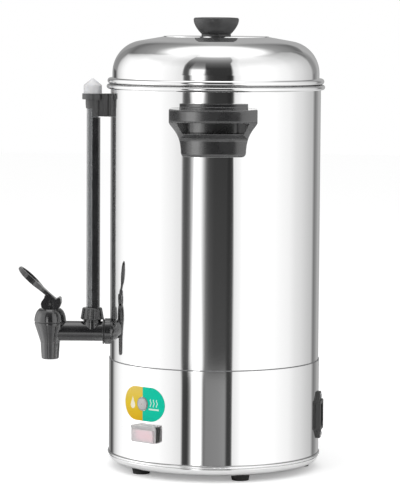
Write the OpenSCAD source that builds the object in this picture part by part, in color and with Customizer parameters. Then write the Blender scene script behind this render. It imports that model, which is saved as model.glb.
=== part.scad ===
// Hot water urn: a steel tank on a heated base, with a loose domed lid, two side
// handles, a lever tap and a sight glass.
// Millimetres, +Z up. The origin is on the tank's axis, where the feet stand.
// The tap points along -X, the first handle along -Y, the power inlet along +X.
// Azimuths are measured from -Y towards +X.

/* [Vessel] */
// Outside radius of the tank wall
tank_r = 110; // [95:1:125]
// Thickness of the stainless sheet of tank, base and lid
sheet = 0.8; // [0.6:0.1:1.2]
// Height of the bare tank wall between the seam and the rim
wall_h = 283.2; // [230:1:330]
// Radius of the rolled rim bead
rim_bead_r = 2.6; // [2:0.1:3.2]
// Height of the tank floor above the seam
floor_rise = 7.3; // [5:0.1:9]

/* [Base] */
// Height of the base housing
base_h = 97.3; // [90:1:120]
// How far the tank wall reaches down into the base housing
seam_overlap = 12; // [8:1:16]
// Height of the sealing bead on the seam
seam_bead_h = 0.9; // [0.6:0.1:1.6]
// Thickness of the sealing bead
seam_bead_t = 0.6; // [0.4:0.1:0.7]
// Height of the bottom tray's visible edge
tray_h = 10.9; // [10:0.1:14]
// Radius of the tray's rolled lower edge
tray_edge_r = 8; // [6:0.5:9]
// Radius of the bead round the top of the tray
tray_bead_r = 1.5; // [1.2:0.1:1.8]
// Height of the tray's upstand inside the base housing
upstand_h = 8; // [6:1:12]
// Diameter of the studs that tie the tray to the tank
stud_d = 5; // [4:0.5:6]
// Radius of the circle of studs
stud_circle_r = 80; // [74:1:84]

/* [Feet] */
// Number of rubber feet
foot_count = 5; // [4:1:6]
// Height of a foot below the tray
foot_h = 6.5; // [6:0.5:10]
// Diameter of a foot at the tray
foot_top_d = 20; // [18:0.5:22]
// Diameter of a foot at the table
foot_bottom_d = 17.5; // [15:0.5:18]
// Radius of the circle of feet
foot_circle_r = 92; // [88:1:94]
// Azimuth of the first foot
foot_az = 18.5; // [15:0.5:22]
// Diameter of the screws that hold the feet
foot_screw_d = 4; // [3:0.5:5]

/* [Lid] */
// Radial play of the lid's neck in the tank
lid_play = 0.9; // [0.6:0.1:1.5]
// Radius of the dome's shoulder
lid_shoulder_r = 33.8; // [24:0.2:40]
// Height from the rim to the start of the shoulder
lid_wall_h = 11.7; // [9:0.1:16]
// Slope of the crown between shoulder and top disc, in degrees
lid_slope = 10; // [6:0.5:12]
// Radius of the flat disc on top
lid_disc_r = 55; // [40:1:62]
// Height of the step at the edge of the disc
lid_step = 0.5; // [0.3:0.1:1]
// Radius of the bead that rests on the rim
lid_bead_r = 3.1; // [2.6:0.1:3.4]
// Depth of the neck below the rim
lid_neck_h = 9; // [6:1:12]

/* [Knob] */
// Largest diameter of the knob
knob_d = 47.4; // [40:0.2:54]
// Diameter of the knob's collar
knob_collar_d = 30.8; // [24:0.2:34]
// Height of the collar
knob_collar_h = 2.3; // [1.5:0.1:4]
// Whole height of the knob
knob_h = 19.8; // [17:0.1:26]
// Radius of the knob's rounded upper edge
knob_edge_r = 2; // [1.5:0.1:3]
// Diameter of the knob's screw
knob_screw_d = 5; // [4:0.5:6]

/* [Handles] */
// Width across the grip
grip_w = 88.4; // [80:0.2:96]
// Height of the grip's front
grip_h = 13.7; // [12:0.1:16]
// Thickness of the grip from front to back
grip_t = 9; // [8:0.5:11]
// How far the grip's front stands out from the tank
grip_reach = 40; // [36:1:46]
// Width of the handle's plate at its top
plate_w = 69; // [64:1:74]
// Thickness of the plate behind the fingers
plate_t = 4; // [3:0.5:5]
// Whole height of the handle
handle_h = 53.6; // [50:0.2:58]
// Distance from the rim bead down to the top of the handle
handle_drop = 11.3; // [9:0.1:20]
// Width of the apron below the fingers
apron_w = 65.6; // [60:0.2:68]
// Height of the apron
apron_h = 24; // [22:1:26]
// Thickness of the apron
apron_t = 13; // [11:0.5:15]
// How far the middle of the grip's top lies below its ends
grip_sag = 1.9; // [1:0.1:2.4]
// How far the handle's plate stands out from the tank above the grip
plate_reach = 9; // [7:0.5:11]
// Depth of the panel sunk into the front of the apron
panel_depth = 0.8; // [0.4:0.1:1.2]
// Diameter of the handle's screws
handle_screw_d = 5; // [4:0.5:6]
// Azimuth between the handle's middle and each screw
handle_screw_az = 9; // [7:0.5:10]

/* [Tap] */
// Distance from the tank wall to the tap's upright axis
tap_reach = 63.4; // [58:0.2:72]
// Height of the tap's shank above the seam
tap_rise = 27; // [25:0.5:34]
// Outside diameter of the shank
shank_d = 21.1; // [20:0.1:23]
// Diameter of the water way through the shank
shank_bore_d = 9; // [8:0.5:11]
// Outside diameter of the shank's thread in the tank wall
shank_thread_d = 16; // [15:0.5:17]
// Diameter of the flange and of the washer at the tank
shank_flange_d = 27.4; // [26:0.2:30]
// Diameter of the spout at its mouth
spout_d = 18.3; // [17.5:0.1:20]
// Diameter of the spout's bore
spout_bore_d = 12; // [10:0.5:12.5]
// Length from the shank's axis down to the mouth of the spout
spout_drop = 29.7; // [26:0.1:40]
// Diameter of the tap body's lip
tap_lip_d = 33; // [31:0.2:35]
// Height of the bonnet
bonnet_h = 14.2; // [12:0.2:16]
// Diameter of the flat top of the bonnet
bonnet_top_d = 24.6; // [23.5:0.2:26]
// Diameter of the stem
stem_d = 6; // [5:0.5:7]
// Diameter of the lever's pin
pin_d = 3; // [2.5:0.5:3.5]
// Length of the lever from its pin to its tip
lever_l = 49.8; // [42:0.2:56]
// Angle of the lever above level when the tap is shut
lever_rise = 40; // [36:1:46]
// Width of the lever's finger plate
lever_w = 21; // [16:0.5:24]
// Height of the pin above the bonnet
pin_rise = 5.2; // [4.8:0.1:6]

/* [Sight gauge] */
// Distance from the tank wall to the glass tube's axis
gauge_reach = 19; // [18.5:0.1:24]
// Outside diameter of the glass tube
glass_d = 12.5; // [11:0.1:13]
// Wall of the glass tube
glass_wall = 1.5; // [1:0.1:2]
// Diameter of the gauge nut at its foot
gauge_nut_d = 24.7; // [24:0.1:26]
// Height of the gauge nut
gauge_nut_h = 12.1; // [10:0.1:14]
// Number of flutes round the gauge nut
nut_flutes = 18; // [12:1:22]
// Width of the shield across the glass
shield_w = 16; // [15:0.5:18]
// Height of the upper bracket
bracket_h = 23.8; // [20:0.2:28]
// Diameter of the bracket's top disc
bracket_disc_d = 22; // [20.4:0.2:24]
// Height of the vent plug above the bracket
plug_h = 16; // [13:0.5:20]
// Diameter of the vent plug
plug_d = 19; // [16:0.2:20]

/* [Controls] */
// Azimuth of the label and of the lamp
panel_az = -40; // [-48:1:-36]
// Azimuth of the switch
switch_az = -37; // [-48:1:-34]
// Height of the switch's middle above the tray
switch_rise = 29.8; // [25:0.5:32]
// Length of the switch's frame
switch_l = 30.4; // [29:0.2:33]
// Height of the switch's frame
switch_w = 15.9; // [14:0.1:17]
// How far the switch's frame stands out
switch_proud = 5.2; // [4:0.1:6.5]
// Tilt of the rocker to each side, in degrees
rocker_tilt = 9; // [7:1:10]
// Wall of the splash cover
boot_wall = 0.8; // [0.6:0.1:1.2]
// Height of the drip ridge along the top of the splash cover
boot_ridge_h = 4.2; // [3:0.2:5]
// Height of the label's and lamp's middle above the tray
label_rise = 59.9; // [56:0.5:66]
// Width of the label
label_w = 54.6; // [48:0.2:60]
// Height of the label
label_h = 35.2; // [32:0.2:40]
// Diameter of the indicator lamp's lens
lamp_d = 12; // [10:0.5:14]

/* [Power inlet] */
// Azimuth of the inlet
inlet_az = 81.5; // [76:0.5:88]
// Height of the inlet's middle above the tray
inlet_rise = 40.2; // [36:0.2:46]
// Length of the inlet's flange
inlet_flange_l = 48.8; // [47.6:0.2:52]
// Height of the inlet's shroud
inlet_l = 31; // [29:0.5:32]
// Width of the inlet's shroud
inlet_w = 25; // [23:0.5:26]
// Distance between the inlet's two screws
inlet_pitch = 40; // [39:0.5:41]

/* [Heater] */
// Diameter of the heating plate under the tank
heater_d = 124; // [100:2:130]
// Thickness of the heating plate
heater_t = 4; // [3:0.5:6]
// Diameter of the heating tube
heater_tube_d = 8; // [6.5:0.5:9]
// Diameter of the thermostats
thermostat_d = 16; // [14:0.5:18]

/* [Fits] */
// Gap between faces that are seated on each other
seat_gap = 0.05; // [0.03:0.01:0.08]
// Gap between pieces that move past each other
move_gap = 0.3; // [0.25:0.05:0.4]
// Radial gap of a shaft that runs in its hole
run_gap = 0.05; // [0.03:0.01:0.08]
// Radial gap round a screw or a pipe in its hole
hole_gap = 0.25; // [0.15:0.05:0.4]

/* [Hidden] */
$fn = 96;

z_tray = foot_h;
z_base = z_tray + tray_h;
z_seam = z_base + base_h;
z_rim = z_seam + wall_h;
z_rim_top = z_rim + 2 * rim_bead_r;
z_floor = z_seam + floor_rise;
tank_ri = tank_r - sheet;
base_ri = tank_r + seat_gap;
base_ro = base_ri + sheet;

steel = "gainsboro";
black = [0.13, 0.13, 0.14];

// Places its children at azimuth a, radius r and height z; their -Y then points outwards.
module at_az(a, r, z) {
    rotate([0, 0, a]) translate([0, -r, z]) children();
}

// A rod that points outwards from the local origin.
module rod_out(d, h) {
    rotate([90, 0, 0]) cylinder(d = d, h = h);
}

// A rod that points inwards from the local origin.
module rod_in(d, h) {
    rotate([-90, 0, 0]) cylinder(d = d, h = h);
}

// A hexagonal nut on the axis, with a bore.
module hex_nut(flats, h, bore_d) {
    difference() {
        cylinder(d = flats / cos(30), h = h, $fn = 6);
        translate([0, 0, -1]) cylinder(d = bore_d, h = h + 2);
    }
}

// A rectangle with rounded corners, centred.
module round_rect(w, h, r) {
    square([w - 2 * r, h], center = true);
    square([w, h - 2 * r], center = true);
    for (x = [-1, 1], y = [-1, 1])
        translate([x * (w / 2 - r), y * (h / 2 - r)]) circle(r = r);
}

// Points on an arc round [cx, cy], from angle a0 to a1 in n steps.
function arc(cx, cy, r, a0, a1, n) =
    [for (i = [0:n]) let (a = a0 + (a1 - a0) * i / n) [cx + r * cos(a), cy + r * sin(a)]];

// A point on the cubic curve with the control points p.
function bezier(p, t) =
    pow(1 - t, 3) * p[0] + 3 * t * pow(1 - t, 2) * p[1] + 3 * t * t * (1 - t) * p[2] + pow(t, 3) * p[3];

// ---------------------------------------------------------------- tank

rim_bite = 0.1;
rim_x = tank_ri - rim_bite + rim_bead_r;
rim_curl_gap = 0.5;
z_skirt = z_seam - seam_overlap;

module tank_section() {
    translate([tank_ri, z_skirt]) square([sheet, z_rim + rim_bead_r - z_skirt]);
    translate([0, z_floor - sheet]) square([tank_ri + sheet / 2, sheet]);
    difference() {
        translate([rim_x, z_rim + rim_bead_r]) circle(r = rim_bead_r);
        translate([rim_x, z_rim + rim_bead_r]) circle(r = rim_bead_r - sheet);
        translate([tank_r, z_rim - 1]) square([rim_curl_gap, rim_bead_r + 1]);
    }
}

module tank() {
    color(steel) difference() {
        rotate_extrude() tank_section();
        shank_rod(-tank_r - 1, -tank_r + 3, shank_thread_d + 2 * hole_gap);
        for (turn = [0, 180], side = [-1, 1])
            at_az(turn + side * handle_screw_az, tank_ri - 1, z_handle_screw)
                rod_out(handle_screw_d + 2 * hole_gap, 3);
        for (z = bracket_screw_z)
            at_az(-90, tank_ri - 1, z) rod_out(bracket_screw_d + 2 * hole_gap, 3);
    }
}

// ---------------------------------------------------------------- base

switch_z = z_base + switch_rise;
label_z = z_base + label_rise;
inlet_z = z_base + inlet_rise;
lamp_hole_d = lamp_d - 2;

// Cuts a window for a body of the given width and height, with play all round.
module wall_window(w, h) {
    rotate([90, 0, 0]) linear_extrude(6) square([w + 2 * hole_gap, h + 2 * hole_gap], center = true);
}

// A soft bead that keeps water out of the seam, where the housing meets the tank.
module seam_seal() {
    r = tank_r + seat_gap;
    ro = r + seam_bead_t;
    z0 = z_seam + seat_gap;
    z1 = z0 + seam_bead_h;
    color("gray") rotate_extrude()
        polygon([[r, z0], [ro, z0], [ro, z1 - 0.4 * seam_bead_h], [r + 0.3 * seam_bead_t, z1], [r, z1]]);
}

module base_housing() {
    color(steel) difference() {
        rotate_extrude()
            translate([base_ri, z_base + seat_gap]) square([sheet, base_h - seat_gap]);
        at_az(switch_az, base_ri - 3, switch_z) wall_window(switch_in_l, switch_in_w);
        at_az(panel_az, base_ri - 3, label_z) rod_out(lamp_hole_d + 2 * hole_gap, 6);
        at_az(inlet_az, base_ri - 3, inlet_z) wall_window(inlet_body_w, inlet_body_l);
        for (side = [-1, 1])
            at_az(inlet_az, base_ri - 3, inlet_z + side * inlet_pitch / 2)
                rod_out(inlet_screw_d + 2 * hole_gap, 6);
    }
}

tray_side_r = base_ro + 0.1;
tray_edge_x = tray_side_r - tray_edge_r;
tray_edge_z = z_tray + tray_edge_r;
tray_bead_z = z_base - tray_bead_r;
tray_bead_x = tray_side_r - 0.4;
upstand_r = base_ri - seat_gap;

// Area inside the tray's sheet, drawn in by t; the top is opened by lift.
module tray_area(t, lift) {
    translate([0, z_tray + t]) square([tray_edge_x, tray_edge_r]);
    intersection() {
        translate([tray_edge_x, tray_edge_z]) circle(r = tray_edge_r - t);
        translate([tray_edge_x - 1, z_tray]) square([tray_edge_r + 2, tray_edge_r]);
    }
    translate([0, tray_edge_z - 1]) square([tray_side_r - t, tray_bead_z - tray_edge_z + 1]);
    translate([tray_bead_x, tray_bead_z]) circle(r = tray_bead_r - t);
    translate([0, tray_bead_z - 1]) square([upstand_r - t, tray_bead_r + 1 + upstand_h + lift]);
}

module bottom_tray() {
    color(steel) difference() {
        rotate_extrude() difference() {
            tray_area(0, 0);
            tray_area(sheet, 1);
        }
        for (i = [0:foot_count - 1])
            at_az(foot_az + i * 360 / foot_count, foot_circle_r, z_tray - 1)
                cylinder(d = foot_screw_d + 2 * hole_gap, h = sheet + 2);
        for (a = stud_az)
            at_az(a, stud_circle_r, z_tray - 1) cylinder(d = stud_d + 2 * hole_gap, h = sheet + 2);
    }
}

stud_az = [54.5, 174.5, 294.5];
tie_nut_h = 4;
tie_nut_flats = 8;

module tie_studs() {
    z_top = z_floor - sheet - seat_gap;
    collar_d = stud_d + 5;
    color("silver") for (a = stud_az) {
        at_az(a, stud_circle_r, z_tray - tie_nut_h) cylinder(d = stud_d, h = z_top - z_tray + tie_nut_h);
        at_az(a, stud_circle_r, z_tray + sheet + seat_gap) cylinder(d = collar_d, h = 2);
        at_az(a, stud_circle_r, z_top - 1.5) cylinder(d = collar_d, h = 1.5);
    }
}

module tie_nuts() {
    color("silver") for (a = stud_az)
        at_az(a, stud_circle_r, z_tray - tie_nut_h)
            hex_nut(tie_nut_flats, tie_nut_h - seat_gap, stud_d + 2 * run_gap);
}

// ---------------------------------------------------------------- feet

foot_pocket_h = foot_h - 3;
foot_head_h = 2.4;
foot_head_d = 2 * foot_screw_d;

module foot() {
    difference() {
        cylinder(d1 = foot_bottom_d, d2 = foot_top_d, h = foot_h - seat_gap);
        translate([0, 0, -1]) cylinder(d = foot_head_d + 1, h = foot_pocket_h + 1);
        translate([0, 0, -1]) cylinder(d = foot_screw_d + 2 * run_gap, h = foot_h + 2);
    }
}

module feet() {
    color(black) for (i = [0:foot_count - 1])
        at_az(foot_az + i * 360 / foot_count, foot_circle_r, 0) foot();
}

module foot_screws() {
    nut_h = 3;
    color("silver") for (i = [0:foot_count - 1])
        at_az(foot_az + i * 360 / foot_count, foot_circle_r, 0) {
            translate([0, 0, foot_pocket_h - seat_gap - foot_head_h])
                cylinder(d = foot_head_d, h = foot_head_h);
            translate([0, 0, foot_pocket_h - seat_gap - 0.5])
                cylinder(d = foot_screw_d, h = foot_h - foot_pocket_h + sheet + nut_h + 2);
            translate([0, 0, z_tray + sheet + seat_gap]) cylinder(d = 7 / cos(30), h = nut_h, $fn = 6);
        }
}

// ---------------------------------------------------------------- lid

lid_ro = tank_ri - lid_play;
z_neck = z_rim_top - lid_neck_h;
z_shoulder = z_rim_top + lid_wall_h;
shoulder_x = lid_ro - lid_shoulder_r;
lid_bead_z = z_rim_top + move_gap + lid_bead_r;
lid_bead_x = tank_r + 0.3;

function crown_x(t) = shoulder_x + (lid_shoulder_r - t) * sin(lid_slope);
function crown_z(t) = z_shoulder + (lid_shoulder_r - t) * cos(lid_slope);
function disc_z(t) = crown_z(t) + (crown_x(t) - lid_disc_r) * tan(lid_slope);
z_lid_top = disc_z(0) + lid_step;

// Area inside the lid's sheet, drawn in by t; the mouth is opened by drop.
module lid_area(t, drop) {
    translate([0, z_neck - drop]) square([lid_ro - t, z_shoulder - z_neck + drop]);
    intersection() {
        translate([shoulder_x, z_shoulder]) circle(r = lid_shoulder_r - t);
        translate([shoulder_x, z_shoulder - 1]) square([lid_shoulder_r + 1, lid_shoulder_r + 2]);
    }
    polygon([
        [0, z_shoulder - 2], [crown_x(t), z_shoulder - 2], [crown_x(t), crown_z(t)],
        [lid_disc_r, disc_z(t)], [0, disc_z(t)]
    ]);
    translate([0, z_shoulder]) square([lid_disc_r - t, disc_z(0) + lid_step - t - z_shoulder]);
    translate([lid_bead_x, lid_bead_z]) circle(r = lid_bead_r - t);
}

module lid_dome() {
    color(steel) difference() {
        rotate_extrude() difference() {
            lid_area(0, 0);
            lid_area(sheet, 1);
        }
        translate([0, 0, z_lid_top - 3]) cylinder(d = knob_screw_d + 2 * hole_gap, h = 5);
    }
}

z_knob = z_lid_top + seat_gap;
z_knob_top = z_knob + knob_h;
knob_bore_h = 0.55 * knob_h;

module knob_section() {
    r = knob_d / 2;
    collar_r = knob_collar_d / 2;
    edge = [r - knob_edge_r, z_knob_top - 0.5 - knob_edge_r];
    flank = [[collar_r, z_knob + knob_collar_h], [collar_r + 4.5, z_knob + knob_collar_h + 4.5],
             [r, z_knob + 0.62 * knob_h], [r, edge[1]]];
    polygon(concat(
        [[0, z_knob], [collar_r, z_knob], [collar_r, z_knob + knob_collar_h - 0.4],
         [collar_r - 0.6, z_knob + knob_collar_h - 0.2]],
        [for (i = [0:8]) bezier(flank, i / 8)],
        arc(edge[0], edge[1], knob_edge_r, 15, 80, 5),
        [[0.6 * r, z_knob_top - 0.1], [0, z_knob_top]]
    ));
}

module lid_knob() {
    color(black) difference() {
        rotate_extrude() knob_section();
        translate([0, 0, z_knob - 1]) cylinder(d = knob_screw_d + 2 * run_gap, h = knob_bore_h + 1);
    }
}

module knob_screw() {
    head_h = 3;
    washer_t = 1.2;
    z_under = z_lid_top - sheet - seat_gap;
    color("silver") {
        translate([0, 0, z_under - washer_t]) cylinder(d = 3.2 * knob_screw_d, h = washer_t);
        translate([0, 0, z_under - washer_t - head_h]) cylinder(d = 1.8 * knob_screw_d, h = head_h + 0.2);
        translate([0, 0, z_under - 1]) cylinder(d = knob_screw_d, h = knob_bore_h + sheet);
    }
}

// ---------------------------------------------------------------- handles

z_handle_top = z_rim - handle_drop;
z_handle_foot = z_handle_top - handle_h;
z_apron = z_handle_foot + apron_h;
z_grip_top = z_handle_top - 4.4;
plate_step = 1.5;
plate_step_h = 3.6;
z_grip = z_grip_top - grip_h;
z_handle_screw = z_handle_foot + 0.55 * apron_h;
handle_r = tank_r + seat_gap;

// Side section of the handle, as radius and height.
module handle_section() {
    edge = 2;
    top_edge = 3;
    flank_r = 0.3 * apron_t;
    polygon(concat(
        [[handle_r, z_handle_foot]],
        arc(tank_r + apron_t - 3, z_handle_foot + 3, 3, -90, 0, 4),
        arc(tank_r + apron_t + flank_r, z_apron - apron_h / 3, flank_r, 180, 130, 3),
        arc(tank_r + grip_reach - edge, z_grip + edge, edge, -60, 0, 3),
        arc(tank_r + grip_reach - top_edge, z_grip_top - top_edge, top_edge, 0, 90, 5),
        [[handle_r, z_grip_top]]
    ));
}

// Outline of the handle, as seen from the front.
module handle_outline() {
    g = grip_w / 2;
    a = apron_w / 2;
    side = [[g, z_grip], [g - 1.2, z_grip - 4.4], [a + 1.2, z_apron + 1.5], [a, z_handle_foot + 7]];
    right = concat(
        arc(a - 5, z_handle_foot + 5, 5, -90, 0, 5),
        [for (i = [0:8]) bezier(side, 1 - i / 8)],
        arc(g - 1.2, z_grip_top - 1.2, 1.2, 0, 90, 3)
    );
    polygon(concat(right, [for (i = [len(right) - 1:-1:0]) [-right[i][0], right[i][1]]]));
}

// Hollow for the fingers behind the grip.
module handle_hollow() {
    deep = 26;
    mouth = grip_w / 2 - 5.5;
    sill = apron_w / 2 - 2.6;
    roof_t = 5;
    roof_z = z_grip_top - roof_t;
    intersection() {
        rotate([0, 0, -90 - 30]) rotate_extrude(angle = 60) polygon([
            [tank_r + plate_t, z_apron], [tank_r + grip_reach + 20, z_apron],
            [tank_r + grip_reach + 20, z_grip], [tank_r + grip_reach - grip_t, z_grip],
            [tank_r + grip_reach - grip_t, roof_z], [tank_r + plate_t, roof_z]
        ]);
        translate([0, 0, z_apron - 1]) linear_extrude(z_handle_top - z_apron) polygon([
            [-deep, -tank_r + 12], [deep, -tank_r + 12], [deep, -tank_r - plate_t - 1],
            [mouth, -tank_r - grip_reach], [mouth, -tank_r - grip_reach - 20],
            [-mouth, -tank_r - grip_reach - 20], [-mouth, -tank_r - grip_reach],
            [-deep, -tank_r - plate_t - 1]
        ]);
        rotate([90, 0, 0]) linear_extrude(tank_r + grip_reach + 30) polygon([
            [-sill, z_apron - 1], [sill, z_apron - 1], [sill + 1, z_apron + 1], [mouth, z_grip],
            [mouth, z_handle_top], [-mouth, z_handle_top], [-mouth, z_grip], [-sill - 1, z_apron + 1]
        ]);
    }
}

// The sector of the ring between radius r0 and r1 and height z0 and z1, at the handle's azimuth.
module handle_ring(r0, r1, z0, z1) {
    rotate([0, 0, -90 - 30]) rotate_extrude(angle = 60) translate([r0, z0]) square([r1 - r0, z1 - z0]);
}

// The grip with its legs and apron; the top is hollowed along a wide arc.
module handle_shell() {
    sag_r = (pow(grip_w / 2, 2) + pow(grip_sag, 2)) / (2 * grip_sag);
    reach = tank_r + grip_reach + 30;
    difference() {
        intersection() {
            rotate([0, 0, -90 - 30]) rotate_extrude(angle = 60) handle_section();
            rotate([90, 0, 0]) linear_extrude(reach) handle_outline();
        }
        translate([0, 0, z_grip_top - grip_sag + sag_r]) rotate([90, 0, 0])
            cylinder(r = sag_r, h = reach, $fn = 360);
    }
}

// The stepped plate that rises above the grip against the tank.
module handle_plate() {
    z0 = z_grip_top - grip_sag - 2;
    for (step = [0, 1]) {
        r = tank_r + plate_reach + step * plate_step;
        w = plate_w - 2 * step;
        intersection() {
            handle_ring(handle_r, r, z0, z_handle_top - step * plate_step_h);
            translate([-w / 2, -2 * tank_r, z0]) cube([w, 2 * tank_r, handle_h]);
        }
    }
}

// The sunk panel in the front of the apron.
module apron_panel() {
    border = 2.4;
    w = apron_w - 2 * border;
    z0 = z_handle_foot + border;
    h = apron_h - 7.4 - border;
    intersection() {
        handle_ring(tank_r + apron_t - panel_depth, tank_r + apron_t + 1, z0, z0 + h);
        translate([0, 0, z0 + h / 2]) rotate([90, 0, 0]) linear_extrude(2 * tank_r) round_rect(w, h, 3);
    }
}

module handle() {
    difference() {
        union() {
            handle_shell();
            handle_plate();
        }
        handle_hollow();
        apron_panel();
        for (side = [-1, 1])
            at_az(side * handle_screw_az, tank_r - 1, z_handle_screw)
                rod_out(handle_screw_d + 2 * run_gap, apron_t - 2);
    }
}

module front_handle() {
    color(black) handle();
}

module rear_handle() {
    color(black) rotate([0, 0, 180]) handle();
}

// Pan-head screw with its washer inside the tank wall, pointing outwards.
module wall_screw(d, reach) {
    washer_t = 1;
    head_h = 0.6 * d;
    translate([0, seat_gap + washer_t + 0.4, 0]) {
        rod_in(2 * d, head_h);
        rod_out(d, reach + washer_t + 0.4);
    }
    translate([0, seat_gap + washer_t + 0.4, 0]) rod_out(2.6 * d, washer_t);
}

module handle_screws() {
    color("silver") for (turn = [0, 180], side = [-1, 1])
        at_az(turn + side * handle_screw_az, tank_ri, z_handle_screw)
            wall_screw(handle_screw_d, apron_t - 4);
}

// ---------------------------------------------------------------- tap

z_tap = z_seam + tap_rise;
tap_x = -(tank_r + tap_reach);
gauge_x = -(tank_r + gauge_reach);
z_spout = z_tap - spout_drop;
z_lip = z_tap + 9.4;
z_seat = z_tap - 7.5;
z_spout_joint = z_tap - shank_d / 2 - 0.6;
spout_sleeve_r = spout_bore_d / 2 + 2;
z_bonnet_top = z_lip + bonnet_h;
z_pin = z_bonnet_top + pin_rise;
shank_r = shank_d / 2;
flange_t = 1.2;
gasket_t = 1.0;
washer_t = 5.4;
flange_x = -(tank_r + washer_t + gasket_t + flange_t);
chamber_r = 9;
neck_r = 12.4;
neck_h = 5;
seat_r = 1.2 + spout_bore_d / 2;

// A rod along +X from x0 to x1 at the tap's height.
module shank_rod(x0, x1, d) {
    translate([x0, 0, z_tap]) rotate([0, 90, 0]) cylinder(d = d, h = x1 - x0);
}

module tap_body_section() {
    lip_r = tap_lip_d / 2;
    spout_r = spout_d / 2;
    waist_z = z_tap - 12.5;
    waist_r = spout_r + 1;
    flank = [[lip_r, z_lip - 2], [lip_r - 1.6, z_lip - 7],
             [waist_r + 1.6, waist_z + 6], [waist_r, waist_z]];
    polygon(concat(
        [[0, z_spout], [spout_r - 1, z_spout], [spout_r, z_spout + 1]],
        [for (i = [0:8]) bezier(flank, 1 - i / 8)],
        [[lip_r, z_lip - 0.4], [lip_r - 0.4, z_lip], [neck_r, z_lip],
         [neck_r, z_lip + neck_h], [0, z_lip + neck_h]]
    ));
}

// The body, its shank to the tank and the socket of the sight glass are one moulding.
// The tap's moulding, whole: chamber, spout, shank and gauge boss.
module tap_moulding() {
    shank_end = -(tank_r - shank_in);
    difference() {
        union() {
            translate([tap_x, 0, 0]) rotate_extrude() tap_body_section();
            difference() {
                shank_rod(tap_x, flange_x, shank_d);
                translate([tap_x, 0, z_lip]) cylinder(r = tap_lip_d / 2 + 2 * move_gap, h = shank_d);
            }
            shank_rod(flange_x, flange_x + flange_t, shank_flange_d);
            shank_rod(flange_x, shank_end, shank_thread_d);
            translate([gauge_x, 0, 0]) rotate_extrude() boss_section();
        }
        translate([tap_x, 0, z_spout - 1]) cylinder(d = spout_bore_d, h = z_tap - z_spout);
        translate([tap_x, 0, z_seat]) cylinder(r = chamber_r, h = z_lip + neck_h - z_seat + 1);
        shank_rod(tap_x, shank_end + 1, shank_bore_d);
        translate([gauge_x, 0, z_glass]) cylinder(r = glass_r + seat_gap, h = 20);
        translate([gauge_x, 0, z_tap]) cylinder(r = glass_r - glass_wall, h = 20);
    }
}

// The spout is a moulding of its own, pressed in from below. Its sleeve carries the valve's seat.
module spout_room(play) {
    translate([tap_x, 0, z_spout - 1]) {
        cylinder(r = tap_lip_d, h = z_spout_joint - z_spout + 1 + play);
        cylinder(r = spout_sleeve_r + play, h = z_seat - z_spout + 2);
    }
}

module tap_body() {
    color(black) difference() {
        tap_moulding();
        spout_room(seat_gap);
    }
}

module tap_spout() {
    color(black) intersection() {
        tap_moulding();
        spout_room(0);
    }
}

module tap_bonnet_section() {
    foot_r = tap_lip_d / 2;
    top_r = bonnet_top_d / 2;
    z0 = z_lip + seat_gap;
    flank = [[foot_r + 0.3, z0 + 1], [foot_r + 0.2, z0 + 0.42 * bonnet_h],
             [top_r + 2.6, z_bonnet_top - 2.6], [top_r, z_bonnet_top - 0.8]];
    polygon(concat(
        [[0, z0], [foot_r - 0.3, z0]],
        [for (i = [0:8]) bezier(flank, i / 8)],
        [[top_r - 0.8, z_bonnet_top], [0, z_bonnet_top]]
    ));
}

bonnet_roof = 3.5;

module tap_bonnet() {
    z_roof = z_bonnet_top - bonnet_roof;
    color(black) difference() {
        translate([tap_x, 0, 0]) rotate_extrude() tap_bonnet_section();
        translate([tap_x, 0, z_lip - 1]) cylinder(r = neck_r + run_gap, h = neck_h + 1 + seat_gap);
        translate([tap_x, 0, z_lip]) cylinder(r = chamber_r, h = z_roof - z_lip);
        translate([tap_x, 0, z_roof - 1]) cylinder(d = stem_d + 2 * run_gap, h = bonnet_roof + 2);
    }
}

cup_h = 6;
tongue_t = 4;
flats_h = 3.6;
stem_collar_z = z_seat + cup_h + 0.6;
stem_collar_h = 2;

// The stem: a rod with a collar for the spring; two flats at its top leave a tongue
// with the eye for the pin.
module tap_stem() {
    stem_r = stem_d / 2;
    z_flats = z_bonnet_top + move_gap - flats_h;
    color("dimgray") translate([tap_x, 0, 0]) difference() {
        union() {
            translate([0, 0, z_seat + 2]) cylinder(d = stem_d, h = z_flats - z_seat - 2);
            translate([0, 0, stem_collar_z]) cylinder(r = chamber_r - 2, h = stem_collar_h);
            intersection() {
                union() {
                    translate([0, tongue_t / 2, z_pin]) rotate([90, 0, 0]) cylinder(r = stem_r, h = tongue_t);
                    translate([-stem_r, -tongue_t / 2, z_flats - 1])
                        cube([stem_d, tongue_t, z_pin - z_flats + 1]);
                }
                translate([0, 0, z_flats - 1]) cylinder(d = stem_d, h = 20);
            }
        }
        translate([0, tongue_t, z_pin]) rotate([90, 0, 0])
            cylinder(d = pin_d + 2 * seat_gap, h = 2 * tongue_t);
    }
}

// The silicone cup on the stem's foot closes the seat round the spout's bore.
module seat_cup() {
    color("ivory") translate([tap_x, 0, 0]) difference() {
        translate([0, 0, z_seat + seat_gap]) cylinder(r1 = seat_r, r2 = chamber_r - 2.2, h = cup_h);
        translate([0, 0, z_seat + 2 - seat_gap]) cylinder(d = stem_d + 2 * seat_gap, h = cup_h);
    }
}

spring_z0 = stem_collar_z + stem_collar_h + 0.1;
spring_z1 = z_bonnet_top - bonnet_roof - 0.1;
spring_wire_d = 1;
spring_r = stem_d / 2 + 1.6;
spring_turns = 5;

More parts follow.
